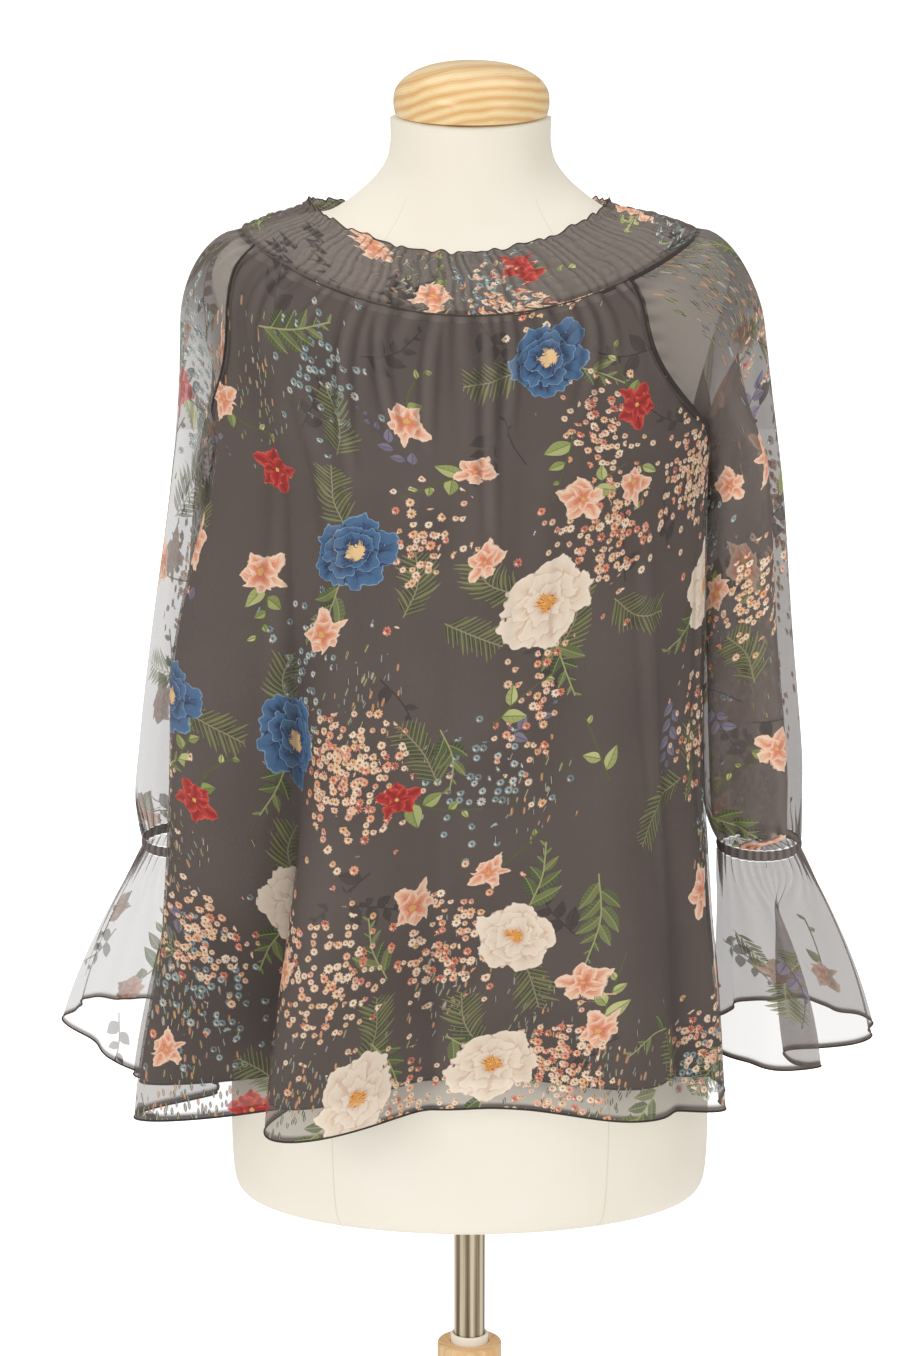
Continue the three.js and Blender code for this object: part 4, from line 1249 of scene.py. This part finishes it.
def make_wood(name, light, middle, grain, heart, roughness):
    """Turned wood: growth rings r = |place - heart| as sin(640 r + noise), darker pores along
    them, and a slow change of tone."""
    finish = new_finish(name, linear(*middle), roughness)
    tree = finish.node_tree
    place, (x, y, z) = object_parts(tree)
    wander = speckle(tree, place, 22.0, 2.0)
    near = ((x - heart[0]) * (x - heart[0]) + (z - heart[1]) * (z - heart[1]) * 2.2).of("SQRT")
    rings = (near * 640.0 + wander * 7.0 + y * 30.0).of("SINE") * 0.5 + 0.5
    fine = (near * 3100.0 + wander * 30.0).of("SINE") * 0.5 + 0.5
    color = ramp(tree, rings * 0.6 + fine * 0.16 + wander * 0.3, (0.15, light), (0.6, middle), (1.0, grain))
    pores, _ = object_parts(tree, (90, 400, 900))
    dark = speckle(tree, pores, 1.0, 2.0) > 0.64
    color = blend_color(tree, dark * 0.2, color, grain)
    cover(tree, color)
    relief(tree, rings, 0.04, 0.0003)
    return finish


def make_straight_grain(name, light, middle, grain, roughness):
    """Wood whose grain runs along the piece: noise on its own map, stretched along it."""
    finish = new_finish(name, linear(*middle), roughness)
    tree = finish.node_tree
    vector = cloth_vector(tree)
    broad = speckle(tree, scaled(tree, vector, 1.0, stretch=(160, 6)), 1.0, 2.0)
    fine = speckle(tree, scaled(tree, vector, 1.0, (3, 5, 0), stretch=(900, 30)), 1.0, 2.0)
    color = ramp(tree, broad * 0.7 + fine * 0.3, (0.3, light), (0.5, middle), (0.72, grain))
    cover(tree, color)
    relief(tree, fine, 0.05, 0.0003)
    return finish


def make_steel():
    """Drawn tube: streaks that run its length, from noise stretched along Z, partly drawing marks
    and partly painted highlight streaks, over bands of painted reflection round it."""
    finish = new_finish("steel", linear(165, 152, 130), 0.3, 1.0)
    tree = finish.node_tree
    _, (x, y, _) = object_parts(tree)
    stretched, _ = object_parts(tree, (420, 420, 5))
    streak = speckle(tree, stretched, 1.0, 2.0)
    # painted reflection: bands of light and dark tone round the pole, and painted highlight in the streaks
    # along it
    painted_reflection_bands = (x.of("ARCTAN2", y) * 9.0).of("SINE") * 0.5 + 0.5
    color = ramp(tree, streak * 0.7 + painted_reflection_bands * 0.4,
                 (0.25, (96, 82, 66)), (0.5, (158, 144, 120)), (0.75, (222, 210, 186)))
    shader = tree.nodes["Principled BSDF"]
    cover(tree, color)
    tree.links.new((streak * 0.3 + 0.16).link, shader.inputs["Roughness"])
    return finish


def make_moulded(name, dark, light, roughness, grain):
    """Moulded plastic or rubber: a little clouding and a fine grain."""
    finish = new_finish(name, linear(*dark), roughness)
    tree = finish.node_tree
    place, _ = object_parts(tree)
    color = ramp(tree, speckle(tree, place, 30.0, 3.0), (0.3, dark), (0.7, light))
    cover(tree, color)
    relief(tree, speckle(tree, place, grain, 2.0), 0.08, 0.0003)
    return finish


def make_jersey():
    """Cream jersey pulled over the form: fine knit ribs round it, soft clouding and seams up the
    sides of the front and back at 46 degrees."""
    finish = new_finish("jersey", linear(250, 244, 231), 0.9)
    tree = finish.node_tree
    place, (x, y, z) = object_parts(tree)
    knit = (z * 5200.0).of("SINE") * (x.of("ARCTAN2", y * -1.0) * 700.0).of("SINE")
    color = ramp(tree, speckle(tree, place, 9.0, 3.0), (0.3, (246, 239, 224)), (0.7, (252, 247, 236)))
    around = x.of("ABSOLUTE").of("ARCTAN2", y.of("ABSOLUTE"))
    seam = ((around - 0.8).of("ABSOLUTE") < 0.0035) * (z < 1.42)
    color = blend_color(tree, seam * 0.35, color, (206, 192, 168))
    cover(tree, color)
    relief(tree, knit * 0.3 + seam * -1.5, 0.15, 0.0003)
    return finish


binding = make_woven("binding", (50, 44, 41), (66, 58, 54), 6000.0, 0.85)
lining_cloth = make_woven("lining_cloth", (78, 68, 65), (88, 78, 74), 5200.0, 0.85)
jersey = make_jersey()
cap_wood = make_wood("cap_wood", (250, 226, 176), (240, 202, 142), (218, 162, 102), (0.02, 1.42), 0.24)
stand_wood = make_straight_grain("stand_wood", (242, 212, 168), (230, 190, 138), (212, 160, 108), 0.4)
steel = make_steel()
plastic = make_moulded("plastic", (238, 232, 218), (248, 243, 232), 0.35, 200.0)
rubber = make_moulded("rubber", (34, 34, 34), (48, 47, 46), 0.8, 500.0)


def cloth_piece(name, points, closed, band, sharp=8.0):
    """A printed piece of the blouse that stands for its CAD node. band is the share of extra
    thickness of cloth at its points, such as at a turned hem, from its cloth heights."""
    chart, flat = charted(name, points, closed)
    chart.layers["hem"] = band(flat[:, :-1, 1] if closed else flat[..., 1])
    # the curvature that the chiffon paints as shade in the folds and as a highlight on the ridges
    chart.layers["crease"] = creases(points, sharp, closed)
    thing = surface(f"{name}_cloth", points, closed=closed, chart=flat, layers=chart.layers)
    thing.visible_shadow = thing.visible_diffuse = False
    finish = chiffon if name.startswith("body") else light_chiffon
    return finish_piece(thing, finish, "mast", name, slot="chiffon")


def sleeve_band(name, turn, v):
    """Extra thickness over a sleeve: where it lies double at the shoulder and in its folded
    pleat in front, and thinner on the wearer's right, as the picture shows."""
    top = 1 - eased((v - 0.03) / 0.17)
    if name == "left":
        pleat = bump(turn, -2, 68) * (1 - top)
        inner = bump(turn, -90, 40) + bump(turn, 270, 60)
        return 0.24 + 0.42 * pleat + 0.4 * top + 0.45 * inner * (1 - top)
    return 0.6 * top - 0.22 * (1 - top) * bump(turn, 60, 110)


def trim(name, path, radius, closed=False, squash=None, sides=8):
    thing = tube(name, path, radius, sides=sides, closed=closed, squash=squash)
    return finish_piece(thing, binding, "mast", slot="chiffon")


def raglan_path(column, height):
    """The line of a raglan seam at a height over the body surface, and its normals."""
    at = np.linspace(0.001, 0.262, 60)
    angle = seam_angle(column, at)
    grid = body_point(angle[:, None] + np.array([[-0.6, 0, 0.6]]), at[:, None] * np.ones((1, 3)))
    normal = outward(grid)[:, 1]
    return grid[:, 1] + normal * height, normal


def make_blouse():
    panels = {side: make_panel(side) for side in ("front", "back")}
    for side, points in panels.items():
        cloth_piece(
            f"body_{side}", points, False, lambda v: edge_band(v, 4.0) + edge_band(v, 7.0, False, True))
        lining = make_lining(side)
        under = surface(f"lining_{side}_cloth", lining, chart=flat_map(lining))
        finish_piece(under, lining_cloth, "mast", f"lining_{side}", slot="lining")
        turned = trim(f"lining_{side}_hem", lining[-1], 0.6)
    hem = np.concatenate([panels["front"][-1][1:-1], panels["back"][-1][1:-1]])
    hem = trim("body_hem", hem, 0.7, closed=True)
    for column, label in enumerate(("front_right", "front_left", "back_left", "back_right")):
        trim(f"raglan_{label}", raglan_path(column, 1.2)[0], 0.65)
        path, normal = raglan_path(column, 0.1)
        trim(f"raglan_allowance_{label}", path, 2.8, squash=(normal, 0.12))
    points = make_yoke()
    yoke = cloth_piece("yoke", points, True, lambda v: np.full_like(v, 0.9), sharp=1.6)
    edge = trim("neck_edge", points[0], 0.42, closed=True)
    turns = np.linspace(-180, 180, 241)[:-1]
    out = np.stack([np.sin(np.radians(turns)), -np.cos(np.radians(turns)), np.full(240, -0.5)], axis=-1)
    line = ring_point(through(YOKE_RINGS, np.full(240, 0.998)), turns)
    seam = trim("yoke_seam", line + out, 0.6, closed=True)
    grid = ring_point(through(YOKE_RINGS, np.array([[0.96], [0.98], [0.998]]) * np.ones(240)), turns[None, :])
    normal = outward(grid, True)[-1]
    allowance = trim("yoke_allowance", line + normal * 0.1, 3.0, closed=True, squash=(normal, 0.12))
    for name in ("left", "right"):
        turn, v, points = make_sleeve(name)
        extra = sleeve_band(name, (turn + 90) % 360 - 90, v)
        sleeve = cloth_piece(f"sleeve_{name}", points, True, lambda heights: extra)
        casing = cloth_piece(f"wrist_casing_{name}", make_casing(name), True, np.ones_like, sharp=3.0)
        points = make_flounce(name)
        thin = -0.2 if name == "right" else 0.1
        flounce = cloth_piece(f"flounce_{name}", points, True, lambda heights: edge_band(heights, 4.0) + thin)
        turned = trim(f"flounce_{name}_hem", points[-1], 0.6, closed=True)


def make_form_and_stand():
    points = make_torso()
    torso = surface("torso_cover", points, closed=True, caps=(0, -1), chart=flat_map(points, True))
    finish_piece(torso, jersey, "mast", "torso", slot="jersey")
    cap = lathe("cap_turned", make_cap(), middle=(0.5, 0), caps=(0, -1), tilt=4, origin_z=1471.35)
    finish_piece(cap, cap_wood, "mast", "neck_cap", slot="cap_wood")
    tube_profile = rounded([
        (3, POLE_TOP, 0), (POLE_RADIUS, POLE_TOP, 0.8), (POLE_RADIUS, POLE_BOTTOM, 0.8), (3, POLE_BOTTOM, 0),
    ])
    pole = lathe("pole_tube", tube_profile, caps=(0, -1))
    finish_piece(pole, steel, "mast", "pole", slot="steel")
    bush_profile = rounded([
        (BUSH_INSIDE, BUSH_BOTTOM + 0.1, 0), (BUSH_INSIDE, BUSH_TOP, 0.5), (BUSH_RADIUS, BUSH_TOP, 1.2),
        (BUSH_RADIUS, BUSH_BOTTOM, 0.5), (BUSH_INSIDE, BUSH_BOTTOM + 0.1, 0),
    ])
    bush = lathe("bush_ring", bush_profile)
    finish_piece(bush, plastic, "bush", "bushing", slot="plastic")
    hub_profile = rounded([
        (12, HUB_BOTTOM, 0), (12, 560, 0.3), (13.8, 560, 0.3), (13.8, HUB_TOP, 0.8), (23, HUB_TOP, 2.5),
        (23, 580, 2), (25, 572, 3), (34, 566, 4), (34, 504, 4), (23, HUB_BOTTOM, 2), (12, HUB_BOTTOM, 0),
    ])
    hub = lathe("hub_turned", hub_profile)
    finish_piece(hub, stand_wood, "tripod", "hub", slot="stand_wood")
    for number in (1, 2, 3):
        turn = (number - 1) * 120
        bar = make_leg(turn)
        leg = surface(f"leg_bar_{number}", bar, closed=True, caps=(0, -1), chart=flat_map(bar, True))
        finish_piece(leg, stand_wood, "tripod", f"leg_{number}", slot="stand_wood")
        x, y = LEG_SPREAD * math.cos(math.radians(turn)), LEG_SPREAD * math.sin(math.radians(turn))
        pad = rounded([(4, FOOT_TALL, 0), (FOOT_RADIUS, FOOT_TALL, 1.5), (FOOT_RADIUS, 0, 1.5), (4, 0, 0)])
        foot = lathe(f"foot_pad_{number}", pad, middle=(x, y), sides=48, caps=(0, -1))
        finish_piece(foot, rubber, "tripod", f"foot_{number}", slot="rubber")


make_form_and_stand()
make_blouse()


# ---------------------------------------------------------------- stage, light and camera
def bright_white(name, seen, given):
    """A white that the camera sees as bright as an overexposed studio, but that gives the part
    only soft light: the strength is seen for what the camera looks at and given for the rest."""
    finish = new_finish(name, (0.9, 0.9, 0.9), 0.9)
    tree = finish.node_tree
    shader = tree.nodes["Principled BSDF"]
    shader.inputs["Emission Color"].default_value = (1, 1, 1, 1)
    path = tree.nodes.new("ShaderNodeLightPath")
    strength = Number(tree, path.outputs["Is Camera Ray"]) * (seen - given) + given
    tree.links.new(strength.link, shader.inputs["Emission Strength"])
    return finish


def plane(name, corners, finish):
    mesh = bpy.data.meshes.new(name)
    mesh.from_pydata(corners, [], [(0, 1, 2, 3)])
    thing = bpy.data.objects.new(name, mesh)
    mesh.materials.append(finish)
    bpy.context.scene.collection.objects.link(thing)
    return thing


FLOOR_REACH, FLOOR_Z = 8, -0.001
corners = [(x * FLOOR_REACH, y * FLOOR_REACH, FLOOR_Z) for x, y in ((-1, -1), (1, -1), (1, 1), (-1, 1))]
plane("floor", corners, bright_white("floor_white", 1.3, 0.25))


def soft_light(name, place, target, size, power, color=(1, 1, 1)):
    light = bpy.data.lights.new(name, "AREA")
    light.shape = "RECTANGLE"
    light.size, light.size_y = size
    light.energy = power
    light.color = color
    thing = bpy.data.objects.new(name, light)
    bpy.context.scene.collection.objects.link(thing)
    thing.location = place
    away = np.array(place) - np.array(target)
    level = math.hypot(away[0], away[1])
    thing.rotation_euler = (math.atan2(level, away[2]), 0, math.atan2(away[0], -away[1]))
    return thing


soft_light("key", (-1.9, -2.6, 2.5), (0, 0, 1.1), (1.6, 1.6), 40, (1, 0.97, 0.93))
soft_light("fill", (2.2, -2.4, 1.8), (0, 0, 1.1), (1.6, 1.6), 19, (1, 0.97, 0.93))
soft_light("top", (0, 0.3, 3.4), (0, 0, 1.2), (2.4, 2.4), 22, (1, 0.98, 0.95))
world = bpy.data.worlds.new("studio")
world.use_nodes = True
sky = world.node_tree.nodes["Background"]
sky.inputs["Color"].default_value = (1, 0.985, 0.96, 1)
looked_at = Number(world.node_tree, world.node_tree.nodes.new("ShaderNodeLightPath").outputs["Is Camera Ray"])
world.node_tree.links.new((looked_at * 0.97 + 0.43).link, sky.inputs["Strength"])
bpy.context.scene.world = world
bpy.context.scene.view_settings.view_transform = "Standard"

LOOK_DOWN = 12.5  # degrees below level, the photograph's viewing angle
camera = bpy.data.cameras.new("camera")
camera.sensor_fit = "VERTICAL"
camera.sensor_height = 36
camera.lens = 106.4
camera.clip_end = 30
viewer = bpy.data.objects.new("camera", camera)
bpy.context.scene.collection.objects.link(viewer)
viewer.location = (-0.0125, -2.7, 1.684)
viewer.rotation_euler = (math.radians(90 - LOOK_DOWN), 0, 0)
bpy.context.scene.camera = viewer
